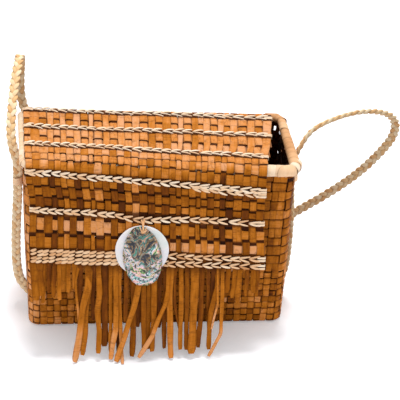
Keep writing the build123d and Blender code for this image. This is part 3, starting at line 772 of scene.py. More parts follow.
# Body: warps and wefts round a tapered oblong with rounded corners
BASE_TOP = 2.4
BODY_TOP = 182.05
RIM_FALL = 0.03308
CORNER = 12.0
ARCS = [  # corner signs, first normal angle and sweep
    ((1, -1), -pi / 2, pi / 2 + SKEW_ANGLE),
    ((1, 1), SKEW_ANGLE, pi / 2 - SKEW_ANGLE),
    ((-1, 1), pi / 2, pi / 2 + SKEW_ANGLE),
    ((-1, -1), pi + SKEW_ANGLE, pi / 2 - SKEW_ANGLE),
]
BODY_WARPS = 100
LOW_ROWS, HIGH_ROWS = 8, 11
LOW_HEIGHT = 7.6
WALL_MIDDLE = -1.2


def tangent_length(sweep):
    return CORNER * tan(sweep / 2)


def side_lengths():
    """Lengths of the eight stretches round the body half way up: a side and the corner after it."""
    long_side, short_side = (RIM_LENGTH + BASE_LENGTH) / 2, (RIM_DEPTH + BASE_DEPTH) / 2 / cos(SKEW_ANGLE)
    lengths = []
    for number, side in enumerate([long_side, short_side] * 2):
        before, after = ARCS[number - 1][2], ARCS[number][2]
        lengths += [side - tangent_length(before) - tangent_length(after), CORNER * after]
    return lengths


STARTS = np.concatenate([[0], np.cumsum(side_lengths())])
ROUND = STARTS[-1]
PITCH = ROUND / BODY_WARPS
SIDES = {"front": (0, 1), "right": (1, 4), "back": (4, 5), "left": (5, 8)}
SIDE_SPANS = {side: (STARTS[first], STARTS[last]) for side, (first, last) in SIDES.items()}
LEFT_CORNER = STARTS[7]
GAP_CORNER = round((STARTS[4] - 2.0) / PITCH) * PITCH


def wall_at(s, z, out):
    """Points on the body from a length round it half way up, a height and a distance out."""
    s, z, out = np.broadcast_arrays(np.asarray(s, float) % ROUND, z, out)
    grow = (z - BASE_TOP) / (RIM_HEIGHT - BASE_TOP)
    half_width = between((BASE_LENGTH, RIM_LENGTH), grow) / 2
    half_depth = between((BASE_DEPTH, RIM_DEPTH), grow) / 2
    which = np.clip(np.searchsorted(STARTS, s, side="right") - 1, 0, 7)
    t = (s - STARTS[which]) / np.diff(STARTS)[which]

    def corner(signs):
        y = signs[1] * half_depth
        return np.stack([RIM_SHIFT * grow + signs[0] * half_width - SKEW * y, y], -1)

    flat, facing = np.zeros(s.shape + (2,)), np.zeros(s.shape + (2,))
    for number, (signs, start, sweep) in enumerate(ARCS):
        previous = ARCS[number - 1]
        here, there = corner(previous[0]), corner(signs)
        way = unit(there - here)
        a = here + way * tangent_length(previous[2])
        b = there - way * tangent_length(sweep)
        normal = np.array([cos(start), sin(start)])
        angle = start + sweep * t
        turned = np.stack([np.cos(angle), np.sin(angle)], -1)
        on_side, on_arc = (which == 2 * number)[..., None], (which == 2 * number + 1)[..., None]
        flat = np.where(on_side, a + (b - a) * t[..., None], flat)
        flat = np.where(on_arc, b - normal * CORNER + turned * CORNER, flat)
        facing = np.where(on_side, normal, np.where(on_arc, turned, facing))
    return np.concatenate([flat + facing * out[..., None], z[..., None]], -1)


def wall_sag(s, z):
    """How far a wall stands out of true between the base and the rim."""
    free = np.clip((z - 6) / 40, 0, 1) * np.clip((176 - z) / 40, 0, 1)
    return free * (0.5 * np.sin(s * 0.032 + 1.0) + 0.35 * np.sin(s * 0.071 + z * 0.04))


wall_height = BODY_TOP - BASE_TOP
high_height = (wall_height - LOW_ROWS * LOW_HEIGHT) / HIGH_ROWS
row_heights = np.array([LOW_HEIGHT] * LOW_ROWS + [high_height] * HIGH_ROWS)
row_bounds = BASE_TOP + np.concatenate([[0], np.cumsum(row_heights)])
row_centres = (row_bounds[:-1] + row_bounds[1:]) / 2
warp_centres = (np.arange(-1, BODY_WARPS + 1) + 0.5) * PITCH
body_tone = drawn(0.47, 0.13, 0.12, 0.85, BODY_WARPS)


def top_scale(s):
    """How the rows stretch so that the top one follows the sloping rim."""
    return (BODY_TOP - RIM_FALL * wall_at(s, 100.0, 0.0)[..., 0] - BASE_TOP) / wall_height


def body_sign(i, j):
    """1 where warp i goes over weft j. High up the warps are woven in pairs."""
    return 1.0 if ((i + j) % 2 if j < LOW_ROWS else (i // 2 + j) % 2) == 0 else -1.0


def loose_corner(s, z):
    """How far the strips part along the bag's back right corner, above the middle."""
    return np.exp(-(((s - GAP_CORNER) / 4.2) ** 2)) * smooth((z - 112) / 10)


def fringe_shadow(s, z):
    """Dark on the front wall behind the long fringe, where little light gets in."""
    s, z = np.broadcast_arrays(s, z)
    x = np.where(s < STARTS[1], wall_at(s, 60.0, 0.0)[..., 0], 500.0)
    return 0.3 * smooth((x + 96) / 40) * smooth((93 - x) / 40) * smooth((120 - z) / 60)


def add_body_warp(strips, i, s0, side):
    """A strip up a wall, from its foot that curls in below the base."""
    stretch = float(top_scale(np.array([s0]))[0])
    z = np.linspace(BASE_TOP, BASE_TOP + wall_height * stretch + 0.4, 130)
    level = (z - BASE_TOP) / stretch + BASE_TOP
    signs = [0.4] + [body_sign(i, j) for j in range(len(row_centres))] + [0.0]
    centres = np.concatenate([[BASE_TOP - 6], row_centres, [BODY_TOP + 6]])
    lift = step_between(level, centres, np.array(signs))
    narrow = 0.38 * loose_corner(s0, z)
    if side in ("right", "left"):
        narrow = narrow + 0.34 * smooth((level - 163) / 5) * (1 if i % 2 else 0.7)
    width = PITCH * (0.97 - narrow) * (1 + 0.05 * np.sin(z * 0.15 + i)) * rng.uniform(0.92, 1.03)
    paired = smooth((level - row_bounds[LOW_ROWS]) / 5)
    s = s0 + 0.45 * np.sin(z * 0.045 + 1.9 * (i // 2)) + (0.3 if i % 2 == 0 else -0.3) * paired
    s = s + 0.3 * np.sin(z * 0.13 + 2.7 * i) * (1 - paired)
    tone = body_tone[i] + (body_tone[i - i % 2] - body_tone[i]) * paired + 0.07 * np.sin(z * 0.05 + i)
    tone = tone + step_between(level, centres, rng.normal(0, 0.09, len(centres)))
    if side == "left" and s0 > LEFT_CORNER:
        tone = tone + 0.35
    shade = np.maximum(crossing_shade(lift), fringe_shadow(s, z))

    foot = np.linspace(0, 1, 7)[:-1]
    curl = (1 - foot) * pi / 2
    foot_out = WALL_MIDDLE + 0.5 - 1.9 * (1 - np.cos(curl)) - 5.0 * np.clip(0.34 - foot, 0, 1)
    out = np.concatenate([foot_out, WALL_MIDDLE + WEAVE * lift + wall_sag(s, z)])
    z = np.concatenate([BASE_TOP - 1.75 * np.sin(curl), z])
    s, width, tone = (np.pad(values, (len(foot), 0), mode="edge") for values in (s, width, tone))
    # Painted shade on the foot, which curls in under the base
    shade = np.pad(shade, (len(foot), 0), constant_values=0.3)
    curl = np.pad(curl, (0, len(z) - len(foot)))

    def at(outward):
        points = wall_at(s, np.maximum(z, BASE_TOP), outward)
        points[:, 2] = z
        return points

    facing = unit(at(out + 1.0) - at(out))
    normal = facing * np.cos(curl)[:, None] + DOWN * np.sin(curl)[:, None]
    strips.ribbon(at(out), normal, width, tone, STRIP_THICK, shade=shade)


def add_body_weft(strips, j, side, row_tone):
    """A strip along one side of the bag. The top one leaves a gap at the ends of the bag."""
    start, end = SIDE_SPANS[side]
    s = np.linspace(start, end, int((end - start) / 1.6))
    values = np.array([-body_sign(i % BODY_WARPS, j) for i in range(-1, BODY_WARPS + 1)])
    lift = step_between(s, warp_centres, values)
    stretch = top_scale(s)
    gap = 3.4 if j == len(row_centres) - 1 and side in ("right", "left") else 0.0
    z = BASE_TOP + (row_centres[j] + gap / 2 - BASE_TOP) * stretch + 0.3 * np.sin(s * 0.05 + j * 1.3)
    apart = {"back": 1.0, "front": 1.7}.get(side, 2.1)
    width = (row_heights[j] - apart - gap) * stretch * (1 + 0.05 * np.sin(s * 0.08 + j))
    width = width - 3.6 * loose_corner(s, z)
    out = WALL_MIDDLE + WEAVE * lift + wall_sag(s, z)
    tone = np.clip(row_tone + 0.12 * np.sin(s * 0.03 + j) + 0.08 * np.sin(s * 0.45 + 2 * j), 0.05, 0.95)
    tone = tone + step_between(s, warp_centres, rng.normal(0, 0.1, len(warp_centres)))
    if side == "left":
        tone = tone + 0.3 * smooth((s - LEFT_CORNER) / 4)
    up = z[:, None] - ACROSS * width[:, None] / 2
    grid = wall_at(s[:, None], up, out[:, None] + UP * STRIP_THICK)
    strips.add(grid, width, tone, np.maximum(crossing_shade(lift), fringe_shadow(s, z)))


walls = {side: Strips(WALL_SHADE) for side in SIDES}
for i in range(BODY_WARPS):
    s0 = (i + 0.5) * PITCH
    side = next(side for side, (_, end) in SIDE_SPANS.items() if s0 < end)
    add_body_warp(walls[side], i, s0, side)
for j in range(len(row_centres)):
    row_tone = drawn(0.48, 0.08, 0.2, 0.8)
    for side in SIDES:
        add_body_weft(walls[side], j, side, row_tone)
WALL_NODES = {"front": "front_wall", "back": "back_wall", "left": "left_gusset", "right": "right_gusset"}
for side, node in WALL_NODES.items():
    place(walls[side], node + "_weave", "bark", [node], body="bag")

# Base: strips both ways, cut to the plan of the body
BASE_HALVES = (125.0, 46.0)
BASE_CORNER = 10
BASE_MIDDLE, BASE_WEAVE = 1.65, 0.35
ACROSS_PLACES = np.arange(-122.5, 123.0, 7.0)
ALONG_PLACES = np.arange(-43.0, 43.5, 7.2)
ACROSS_WIDTH, ALONG_WIDTH = 6.7, 6.9


def half_span(from_middle, half_across, half_along):
    """Half the length of a strip of the base, at a distance of it from the middle."""
    near = max(abs(from_middle) - (half_across - BASE_CORNER), 0)
    return half_along - BASE_CORNER + max(BASE_CORNER**2 - near * near, 0) ** 0.5


def add_base_strips(strips, places, crossed, halves, width, count, sign):
    for number, where in enumerate(places):
        half = half_span(where, *halves)
        run = np.linspace(-half, half, count)
        over = np.where((np.arange(len(crossed)) + number) % 2 == 0, sign, -sign)
        lift = step_between(run, crossed, over)
        x, y = (where, run) if sign > 0 else (run, where)
        centre = np.stack(np.broadcast_arrays(x - SKEW * y, y, BASE_MIDDLE + BASE_WEAVE * lift), -1)
        tone = drawn(0.4, 0.12, 0.1, 0.8)
        strips.ribbon(centre, np.tile(DOWN, (count, 1)), width, tone, THIN)


base = Strips()
add_base_strips(base, ACROSS_PLACES, ALONG_PLACES, BASE_HALVES, ACROSS_WIDTH, 60, 1.0)
add_base_strips(base, ALONG_PLACES, ACROSS_PLACES, BASE_HALVES[::-1], ALONG_WIDTH, 150, -1.0)
place(base, "base_weave", "bark", ["base_panel"], body="bag")


# Rim: flat raffia wound round the rod, each turn overlapping the one before
RIM_HALVES = (128.8, 50.8)
RIM_BEND = 10.8
RIM_END = 115.5
CORNER_HALF = 8.5
OVERLAP = 2.2
# Radius of the roll at the front left, front right and back right corner
ROLL_RADII = [4.2, 5.8, 4.2]
# The last turns at the right, at the back under the flap, are painted darker, as shade
DARK_END, DARKER = 40, 0.75


def rounded(corners, radius, step=1.5):
    """A line through corners with arcs in them, as dense points."""
    corners = np.array(corners, float)
    points = [corners[0]]
    for before, corner, after in zip(corners, corners[1:], corners[2:]):
        way_in, way_out = unit(corner - before), unit(after - corner)
        turn = np.arccos(np.clip(way_in @ way_out, -1, 1))
        centre = corner + unit(way_out - way_in) * radius / cos(turn / 2)
        first = unit(corner - way_in * radius * tan(turn / 2) - centre)
        for angle in np.linspace(0, turn, max(int(radius * turn / step), 4) + 1):
            points.append(centre + radius * (first * cos(angle) + way_in * sin(angle)))
    points.append(corners[-1])
    return np.array(points)


def rim_corner(side, end):
    y = end * RIM_HALVES[1]
    return (RIM_SHIFT + side * RIM_HALVES[0] - SKEW * y, y, 0.0)


def rim_end(side):
    return (side * RIM_END - SKEW * HINGE_Y, RIM_HALVES[1], 0.0)


RIM_CORNERS = [rim_corner(-1, 1), rim_corner(-1, -1), rim_corner(1, -1), rim_corner(1, 1)]
RIM_LINE = rounded([rim_end(-1), *RIM_CORNERS, rim_end(1)], RIM_BEND)
rim_run = run_along(RIM_LINE)
corner_runs = [rim_run[np.argmin(np.abs(RIM_LINE - np.array(corner)).sum(1))] for corner in RIM_CORNERS]


def wound(strips, start, end, turn, mean_tone, corner):
    """One ribbon wound round the roll from a length along it to another. Turns widen outside a bend."""
    middle = RIM_LINE.mean(0)
    pitch = (end - start) / max(round((end - start) / turn), 1)
    for first in np.arange(start, end - pitch / 2, pitch):
        angle = np.linspace(0, 2 * pi * 1.02, 26)
        lean = rng.normal(0, 0.5)
        run = first + pitch * 0.5 + pitch * 0.25 * (angle / pi - 1) + lean * np.sin(angle)
        line = points_at(run, rim_run, RIM_LINE)
        way = unit(points_at(run + 0.5, rim_run, RIM_LINE) - points_at(run - 0.5, rim_run, RIM_LINE))
        outward = np.cross(way, -DOWN)
        radial = outward * np.sin(angle)[:, None] + DOWN * np.cos(angle)[:, None]
        radius = np.interp(run, corner_runs[1:], ROLL_RADII) - 0.55 + rng.normal(0, 0.1)
        local = line + radial * radius[:, None]
        normal = radial[:, :1] * RIM_X + radial[:, 1:2] * np.array([0, 1.0, 0]) + radial[:, 2:] * RIM_Z
        outside = np.sign(((line - middle) * outward).sum(1)) * np.sin(angle)
        width = pitch * (1.24 + 0.6 * corner * np.clip(outside, 0, 1))
        tone = drawn(mean_tone, 0.1, 0.2, 1.0)
        if run[0] > rim_run[-1] - DARK_END:
            tone = tone * DARKER
        strips.ribbon(from_rim(*local.T), normal, width, tone, tilt=-0.03)


_, left_run, right_run, _ = corner_runs
RIM_PARTS = {
    "rim_wrap_left": (0.0, left_run - CORNER_HALF, 7.5),
    "rim_wrap_front_left_corner": (left_run - CORNER_HALF, left_run + CORNER_HALF, 8.5),
    "rim_wrap_front": (left_run + CORNER_HALF, right_run - CORNER_HALF, 9.6),
    "rim_wrap_front_right_corner": (right_run - CORNER_HALF, right_run + CORNER_HALF, 9.0),
    "rim_wrap_right": (right_run + CORNER_HALF, rim_run[-1], 9.2),
}
for node, (start, end, turn) in RIM_PARTS.items():
    strips = Strips(TWINE_SHADE)
    low, high = max(start - OVERLAP, 0.0), min(end + OVERLAP, rim_run[-1])
    # The wraps along the right are painted darker than the rest, as shade
    wound(strips, low, high, turn, 0.3 if node == "rim_wrap_right" else 0.78, node.endswith("corner"))
    place(strips, node + "_turns", "raffia", [node], body="bag")
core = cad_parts["rim_core"]
core.data.materials.clear()
core.data.materials.append(MATERIALS["rod"])

# Braided strap and tails: three flat strands plaited along one line. The control points of its
# three splines are in metres.
STRAP_POINTS = [
    (-0.13282, -0.004, 0.1651),
    (-0.1376, -0.003, 0.183),
    (-0.1386, 0.004, 0.1995),
    (-0.1369, 0.017, 0.2135),
    (-0.1349, 0.038, 0.2275),
    (-0.1316, 0.0542, 0.2395),
    (-0.1298, 0.0738, 0.24),
    (-0.1299, 0.0889, 0.227),
    (-0.1312, 0.0925, 0.207),
    (-0.1314, 0.088, 0.186),
    (-0.124, 0.0775, 0.1645),
    (-0.105, 0.069, 0.1415),
    (-0.074, 0.0635, 0.1195),
    (-0.03, 0.0605, 0.093),
    (0.018, 0.0603, 0.063),
    (0.058, 0.0615, 0.0395),
    (0.094, 0.063, 0.031),
    (0.128, 0.064, 0.042),
    (0.16, 0.064, 0.063),
    (0.19, 0.062, 0.0855),
    (0.215, 0.0585, 0.1095),
    (0.235, 0.053, 0.1385),
    (0.2455, 0.0465, 0.163),
    (0.2415, 0.039, 0.1865),
    (0.222, 0.03, 0.199),
    (0.197, 0.0208, 0.203),
    (0.1715, 0.0104, 0.2005),
    (0.152, 0.002, 0.1945),
    (0.1424, -0.0032, 0.1815),
    (0.135845, -0.004, 0.1651),
]
LEFT_TAIL = [
    (-0.13282, -0.004, 0.1506),
    (-0.13322, -0.004, 0.1306),
    (-0.13542, -0.0045, 0.1016),
    (-0.13712, -0.0045, 0.0676),
    (-0.13682, -0.004, 0.0376),
    (-0.13242, -0.0035, 0.0196),
    (-0.12282, -0.003, 0.0091),
]
RIGHT_TAIL = [
    (0.135845, -0.004, 0.1506),
    (0.136245, -0.004, 0.1306),
    (0.138245, -0.0045, 0.1006),
    (0.138445, -0.0045, 0.0666),
    (0.137045, -0.004, 0.0366),
    (0.132445, -0.0035, 0.0186),
    (0.122845, -0.003, 0.0091),
]
STRAND_PERIOD = 21.0
STRAND_WIDTH, STRAND_THICK = 4.0, 2.3
BRAID_HALF_WIDTH, BRAID_HALF_DEPTH = 2.75, 1.2
STRAND_TONES = [0.6, 0.85, 0.98]
BRAID_STEP = 1.1


def spline_points(points):
    """Points along the NURBS spline that has these control points."""
    curve = bpy.data.curves.new("route", "CURVE")
    curve.dimensions = "3D"
    curve.resolution_u = 12
    spline = curve.splines.new("NURBS")
    spline.points.add(len(points) - 1)
    for control, point in zip(spline.points, points):
        control.co = (*point, 1.0)
    spline.order_u = 3
    spline.use_endpoint_u = True
    carrier = bpy.data.objects.new("route", curve)
    bpy.context.scene.collection.objects.link(carrier)
    bpy.context.view_layer.update()
    evaluated = carrier.evaluated_get(bpy.context.evaluated_depsgraph_get())
    mesh = bpy.data.meshes.new_from_object(evaluated)
    line = np.array([v.co for v in mesh.vertices], float) / MM
    bpy.data.objects.remove(carrier)
    bpy.data.curves.remove(curve)
    bpy.data.meshes.remove(mesh)
    return line


def resampled(line, step):
    run = run_along(line)
    count = max(int(run[-1] / step), 4)
    return points_at(np.linspace(0, run[-1], count + 1), run, line)


def carried_frames(line):
    """A direction across the line that turns as little as it can, and its partner."""
    tangent = unit(np.gradient(line, axis=0))
    across = unit(np.cross(tangent[0], np.array([0.0, 1.0, 0.0])))
    made = [across]
    for before, after in zip(tangent, tangent[1:]):
        axis = np.cross(before, after)
        size = np.linalg.norm(axis)
        if size > 1e-9:
            turn = Matrix.Rotation(atan2(size, float(before @ after)), 3, Vector(axis / size))
            across = np.array(turn @ Vector(across))
        made.append(across)
    across = unit(np.array(made) - tangent * (np.array(made) * tangent).sum(-1, keepdims=True))
    return across, np.cross(tangent, across)


strap_line, left_line, right_line = map(spline_points, (STRAP_POINTS, LEFT_TAIL, RIGHT_TAIL))
left_root = np.array([left_line[0], strap_line[0]])
right_root = np.array([strap_line[-1], right_line[0]])
routes = [left_line[::-1], left_root, strap_line, right_root, right_line]
stretches = [resampled(route, BRAID_STEP)[number > 0 :] for number, route in enumerate(routes)]
line = np.concatenate(stretches)
across, partner = carried_frames(line)
run = run_along(line)
ends = np.cumsum([len(stretch) for stretch in stretches])
spans = [(max(end - len(stretch) - 1, 0), end) for stretch, end in zip(stretches, ends)]


def braid_piece(first, last, painted_light):
    """Three strands from one point of the line to another, made lighter by an amount of painted light."""
    strips = Strips(TWINE_SHADE)
    along, side, face = run[first:last], across[first:last], partner[first:last]
    for strand in range(3):
        phase = 2 * pi * (along / STRAND_PERIOD + strand / 3)
        wide, deep = BRAID_HALF_WIDTH * np.sin(phase), BRAID_HALF_DEPTH * np.sin(2 * phase)
        centre = line[first:last] + side * wide[:, None] + face * deep[:, None]
        tone = STRAND_TONES[strand] + painted_light + 0.12 * np.sin(along * 0.11 + 2 * strand)
        shade = 0.3 * smooth(-np.sin(2 * phase) * 1.2)
        strips.ribbon(centre, face, STRAND_WIDTH, tone, STRAND_THICK, shade=shade)
    return strips


ROOT_BLEND = ("bag", "strap", (0.0, -0.004, 0.1515), (0.0, -0.004, 0.1645))
BRAIDS = [
    ("left_tail_braid", "bag", ["left_strap_tail"]),
    ("left_root_braid", None, []),
    ("strap_braid", "strap", ["strap"]),
    ("right_root_braid", None, []),
    ("right_tail_braid", "bag", ["right_strap_tail"]),
]
for (name, body, nodes), (first, last) in zip(BRAIDS, spans):
    # Painted light: the left tail, which the lamp leaves in shade, is made lighter
    strips = braid_piece(first, last, 0.15 if name == "left_tail_braid" else 0.0)
    place(strips, name, "braid", nodes, body=body, blend=None if body else ROOT_BLEND)


LASHING_FOOT, LASHING_HEIGHT, LASHING_RADIUS, LASHING_TURNS = 140.6, 8.4, 4.75, 3.4
LASHING_WIDTH, LASHING_TONE = 2.9, 0.7
STRAP_Y = -4.0


def lashing(name, x):
    """Turns of raffia that bind a tail to the end of the strap."""
    strips = Strips()
    angle = np.linspace(0, 2 * pi * LASHING_TURNS, 110)
    radial = np.stack([np.cos(angle), np.sin(angle), 0 * angle], -1)
    height = np.stack([0 * angle, 0 * angle, LASHING_FOOT + LASHING_HEIGHT * angle / angle[-1]], -1)
    radius = LASHING_RADIUS + 0.15 * np.sin(angle * 2.3)
    centre = np.array([x, STRAP_Y, 0.0]) + radial * radius[:, None] + height
    strips.ribbon(centre, radial, LASHING_WIDTH, LASHING_TONE, tilt=0.04)
    return place(strips, name + "_turns", "raffia", [name], body="bag")


left_lashing = lashing("left_tail_lashing", -132.9)
right_lashing = lashing("right_tail_lashing", 135.95)

# Fringe: strips that hang from the woven edge. Each has its place across at the top, places across
# and down the leaf from there on, a width, how far it comes to stand out of the leaf's face, its tone
# and how much lighter its tip is.
FRINGE_TOP, SHORT_MIDDLE, SHORT_TIP = 89, 108, 126
# Strips that lie behind have low tones, as painted shade
LONG_STRIPS = [
    (-62, [(-62.7, 114), (-67, 135), (-69.4, 159), (-73.4, 194)], 6.6, 1.6, 0.42, 0.36),
    (-64, [(-61.7, 117), (-64, 140), (-64.5, 162), (-66.8, 187)], 5.6, 0.2, 0.36, 0.1),
    (-71, [(-74.6, 110), (-73.4, 127), (-70.6, 152)], 2.4, -0.8, 0.5, 0.3),
    (-70, [(-70.5, 120), (-71, 140)], 5.0, -2.4, 0.22, 0.0),
    (-53.5, [(-51.6, 120), (-53.2, 138), (-50.6, 161), (-51.6, 185)], 5.4, 1.0, 0.44, 0.0),
    (-57.5, [(-57.8, 120), (-57, 152)], 4.2, -2.8, 0.2, 0.0),
    (-47.4, [(-46.1, 130), (-45.3, 178)], 6.4, -1.6, 0.24, 0.0),
    (-41.8, [(-40.5, 140), (-39.3, 184)], 4.0, -0.4, 0.4, 0.12),
    (-37, [(-35.6, 129), (-35.1, 160), (-39.4, 191)], 5.2, 1.4, 0.5, 0.36),
    (-32.7, [(-32.2, 130), (-30.3, 161), (-27, 197)], 3.6, 0.4, 0.42, 0.42),
    (-34.2, [(-33.6, 140), (-31.0, 190)], 5.4, -2.4, 0.22, 0.0),
    (-26.6, [(-25.9, 130), (-26.2, 152)], 4.6, -1.0, 0.36, 0.0),
    (-12.4, [(-14.2, 109), (-18.1, 134), (-22.9, 151), (-27.1, 169), (-33.4, 193)], 5.6, 2.6, 0.5, 0.16),
    (-20.6, [(-17.9, 140), (-18, 166), (-18.7, 189)], 5.6, -1.2, 0.26, 0.04),
    (-14.6, [(-13.4, 130), (-13.2, 158)], 4.4, -3.0, 0.18, 0.0),
    (-10, [(-8.4, 150), (-6.7, 183)], 5.2, 0.0, 0.4, 0.0),
    (-5, [(-3.5, 150), (-2.4, 181)], 4.6, -1.4, 0.34, 0.0),
    (0.2, [(1.2, 148), (1.1, 183)], 5.6, 0.6, 0.38, 0.0),
    (5.6, [(6.0, 130), (6.6, 158)], 4.6, -2.6, 0.18, 0.0),
    (14.2, [(13.8, 116), (11.6, 131), (5.4, 148), (0.6, 164), (-12.2, 188)], 4.4, 2.8, 0.46, 0.42),
    (11.2, [(11.6, 129), (11.7, 156), (12.6, 180)], 4.8, -1.8, 0.3, 0.0),
    (16.4, [(15.9, 129), (17.7, 161), (19.9, 190)], 5.8, 1.2, 0.48, 0.14),
    (20.4, [(20.6, 129), (24.2, 146), (28, 164)], 3.0, -0.6, 0.24, 0.0),
    (25.8, [(27.5, 140), (28.3, 181)], 4.8, 0.4, 0.38, 0.0),
    (31.5, [(33.3, 140), (34.2, 181)], 4.6, -1.0, 0.3, 0.0),
    (39.4, [(39.6, 129), (39.2, 184)], 8.0, 1.4, 0.46, 0.06),
    (46, [(46.9, 139), (45.8, 178)], 4.8, -0.8, 0.28, 0.0),
    (51.6, [(53.9, 134), (56.5, 177)], 3.8, -2.2, 0.26, 0.1),
    (61.0, [(61.4, 112), (56.5, 137), (55.7, 180)], 5.0, 0.6, 0.38, 0.04),
    (60.8, [(62.3, 129), (59.8, 144), (58, 158)], 2.2, 1.9, 0.5, 0.36),
    (66.0, [(66.8, 139), (67.3, 161), (55.8, 187)], 3.8, 2.4, 0.46, 0.36),
    (57.0, [(57.4, 120), (58.0, 150)], 4.4, -3.2, 0.18, 0.0),
]
STRIP_BEND = 14.0
TABLE_BLEND = 1.8


def short_strips(first, last, count):
    """Rows of the same kind for strips that end above the table. The outermost are broader."""
    made = []
    for x in np.linspace(first, last, count):
        x = x + rng.normal(0, 0.5)
        drop = SHORT_TIP + rng.normal(0, 5)
        lean, stand = rng.normal(0, 1.3), rng.choice([-1.6, -0.6, 0.4])
        below = [(x + lean * 0.5, SHORT_MIDDLE), (x + lean, drop)]
        width = rng.uniform(4.0, 5.6) + (2.4 if x < -107 else 0.0)
        made.append((x, below, width, stand, rng.normal(0.34, 0.08), rng.uniform(0, 0.15)))
    return made


def fringe(name, node, given):
    strips = Strips()
    for number, (top, below, width, stand, tone, glow) in enumerate(given):
        path = [(top, FRINGE_TOP), *below]
        route = rounded([(*point, 0.0) for point in path], STRIP_BEND)
        length = run_along(route)[-1]
        route = resampled(route, 2.2)
        t = np.linspace(0, 1, len(route))
        drop = route[:, 1] + 0.4 * np.sin(t * 7 + number)
        f = (top - LEAF_SPAN[0]) / (LEAF_SPAN[1] - LEAF_SPAN[0])
        begin = between(LEAF_END, f) - 3.0 - Q_LEAF
        tip = below[-1][1]
        q = Q_LEAF + begin + (drop - drop[0]) * (tip - begin) / (tip - drop[0])
        x = route[:, 0] + 0.35 * np.sin(t * rng.uniform(7, 12) + number) * t
        layer = -0.75 if number % 2 else -1.75
        out = layer + (stand - layer) * smooth((t - 0.02) / 0.3) + rng.uniform(0, 1.6) * t**2
        centre = flap_at(x, q, out)
        # The tips that reach the table bend forward over it
        spill = TABLE_BLEND * np.log1p(np.exp((1.0 - centre[:, 2]) / TABLE_BLEND))
        centre[:, 2] += spill
        centre[:, 1] -= spill * 0.9
        cut = 1 - 0.3 * smooth((t * length - length + 4.0) / 4.0)
        widths = width * (1 + 0.07 * np.sin(t * 9 + number) + 0.04 * np.sin(t * 23 + 2 * number)) * cut
        twist = rng.normal(0, 0.22) * t + rng.normal(0, 0.1)
        # Painted light and shade: strips that stand out are lighter, those behind darker
        tones = tone + (0.07 if stand > 0 else -0.05) + glow * smooth((t - 0.5) / 0.3)
        tones = tones + rng.normal(0, 0.04)
        # Painted shade at the top of each strip, under the row above
        shade_under_row = 0.75 * smooth((0.14 - t) / 0.14)
        strips.ribbon(centre, flap_normal(q), widths, tones, tilt=twist, shade=shade_under_row)
    place(strips, name, "bark", [node], body="flap_front")


fringe("fringe_left_strips", "fringe_left_short", short_strips(-114.6, -76.5, 9))
fringe("fringe_long_strips", "fringe_long", LONG_STRIPS)
fringe("fringe_right_strips", "fringe_right_short", short_strips(72.5, 100.5, 6))

# Pendant: a disc with a shell before it. Rings of points run from one pole to the other.
DISC_DROP, DISC_RADIUS = 77.4, 25.5
DISC_BACK, DISC_EDGE, DISC_RISE = 1.8, 1.2, 1.0
TIE_DROP = DISC_DROP - DISC_RADIUS + 4.2
SHELL_X, SHELL_TURN = PENDANT_X + 1, radians(10)
SHELL_HALF, SHELL_TOP, SHELL_BOTTOM, SHELL_RISE, SHELL_THICK = 18.5, 34.0, 27.0, 8.5, 1.6
SHELL_SEAT = DISC_BACK + 2.2 + 0.3
SHELL_DROP = TIE_DROP - 4.2 + SHELL_TOP
RING_POINTS = 96
POLE = 0.001


def leaf_points(x, up, out):
    """Points drawn on the front leaf: across, up from the bend and out of its face."""
    y = BEND_Y - BEND_RADIUS * sin(pi / 2 - FLARE) + up * sin(FLARE) - out * cos(FLARE)
    z = BEND_Z + BEND_RADIUS * cos(pi / 2 - FLARE) + up * cos(FLARE) + out * sin(FLARE)
    return from_rim(x, y, z)


def surface_piece(name, rings, slot, nodes, body):
    """A piece of the pendant from its rings, open only at its poles, with how high each point is."""
    ring, point = np.meshgrid(np.arange(len(rings) - 1), np.arange(RING_POINTS), indexing="ij")
    near, far = ring * RING_POINTS, (ring + 1) * RING_POINTS
    after = (point + 1) % RING_POINTS
    faces = np.stack([near + point, far + point, far + after, near + after], -1).reshape(-1, 4)
    points = np.array(rings).reshape(-1, 3) * MM
    height = points[:, 2]
    mesh = bpy.data.meshes.new(name)
    mesh.from_pydata(points.tolist(), [], faces.tolist())
    piece = link_piece(name, mesh, MATERIALS[slot], 60, {"up": (height - height.min()) / np.ptp(height)})
    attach(piece, body)
    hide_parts(*nodes)


angle = np.linspace(0, 2 * pi, RING_POINTS + 1)[:-1]


def disc_ring(share, out):
    radius = DISC_RADIUS * share * (1 + 0.006 * np.sin(3 * angle + 1) + 0.004 * np.sin(7 * angle))
    return leaf_points(PENDANT_X + radius * np.cos(angle), -DISC_DROP + radius * np.sin(angle), out)


def shell_ring(share, rise, inset):
    """A ring of the shell's lobed and ridged outside, or of its inside at an inset."""
    lobes = 1 + 0.018 * np.sin(2 * angle + 0.5) + 0.012 * np.sin(5 * angle) + 0.006 * np.sin(11 * angle)
    across = (SHELL_HALF - inset) * share * np.cos(angle) * lobes
    tall = np.where(np.sin(angle) > 0, SHELL_TOP - inset, SHELL_BOTTOM - inset)
    up = tall * share * np.sin(angle) * lobes
    ridges = 0.16 * np.sin(share * 34 + 2.5 * np.cos(angle)) * share * (inset == 0)
    out = SHELL_SEAT + rise * np.sqrt(1 - share * share) + ridges
    x = SHELL_X + across * cos(SHELL_TURN) - up * sin(SHELL_TURN)
    y = -SHELL_DROP + across * sin(SHELL_TURN) + up * cos(SHELL_TURN)
    return leaf_points(x, y, out)


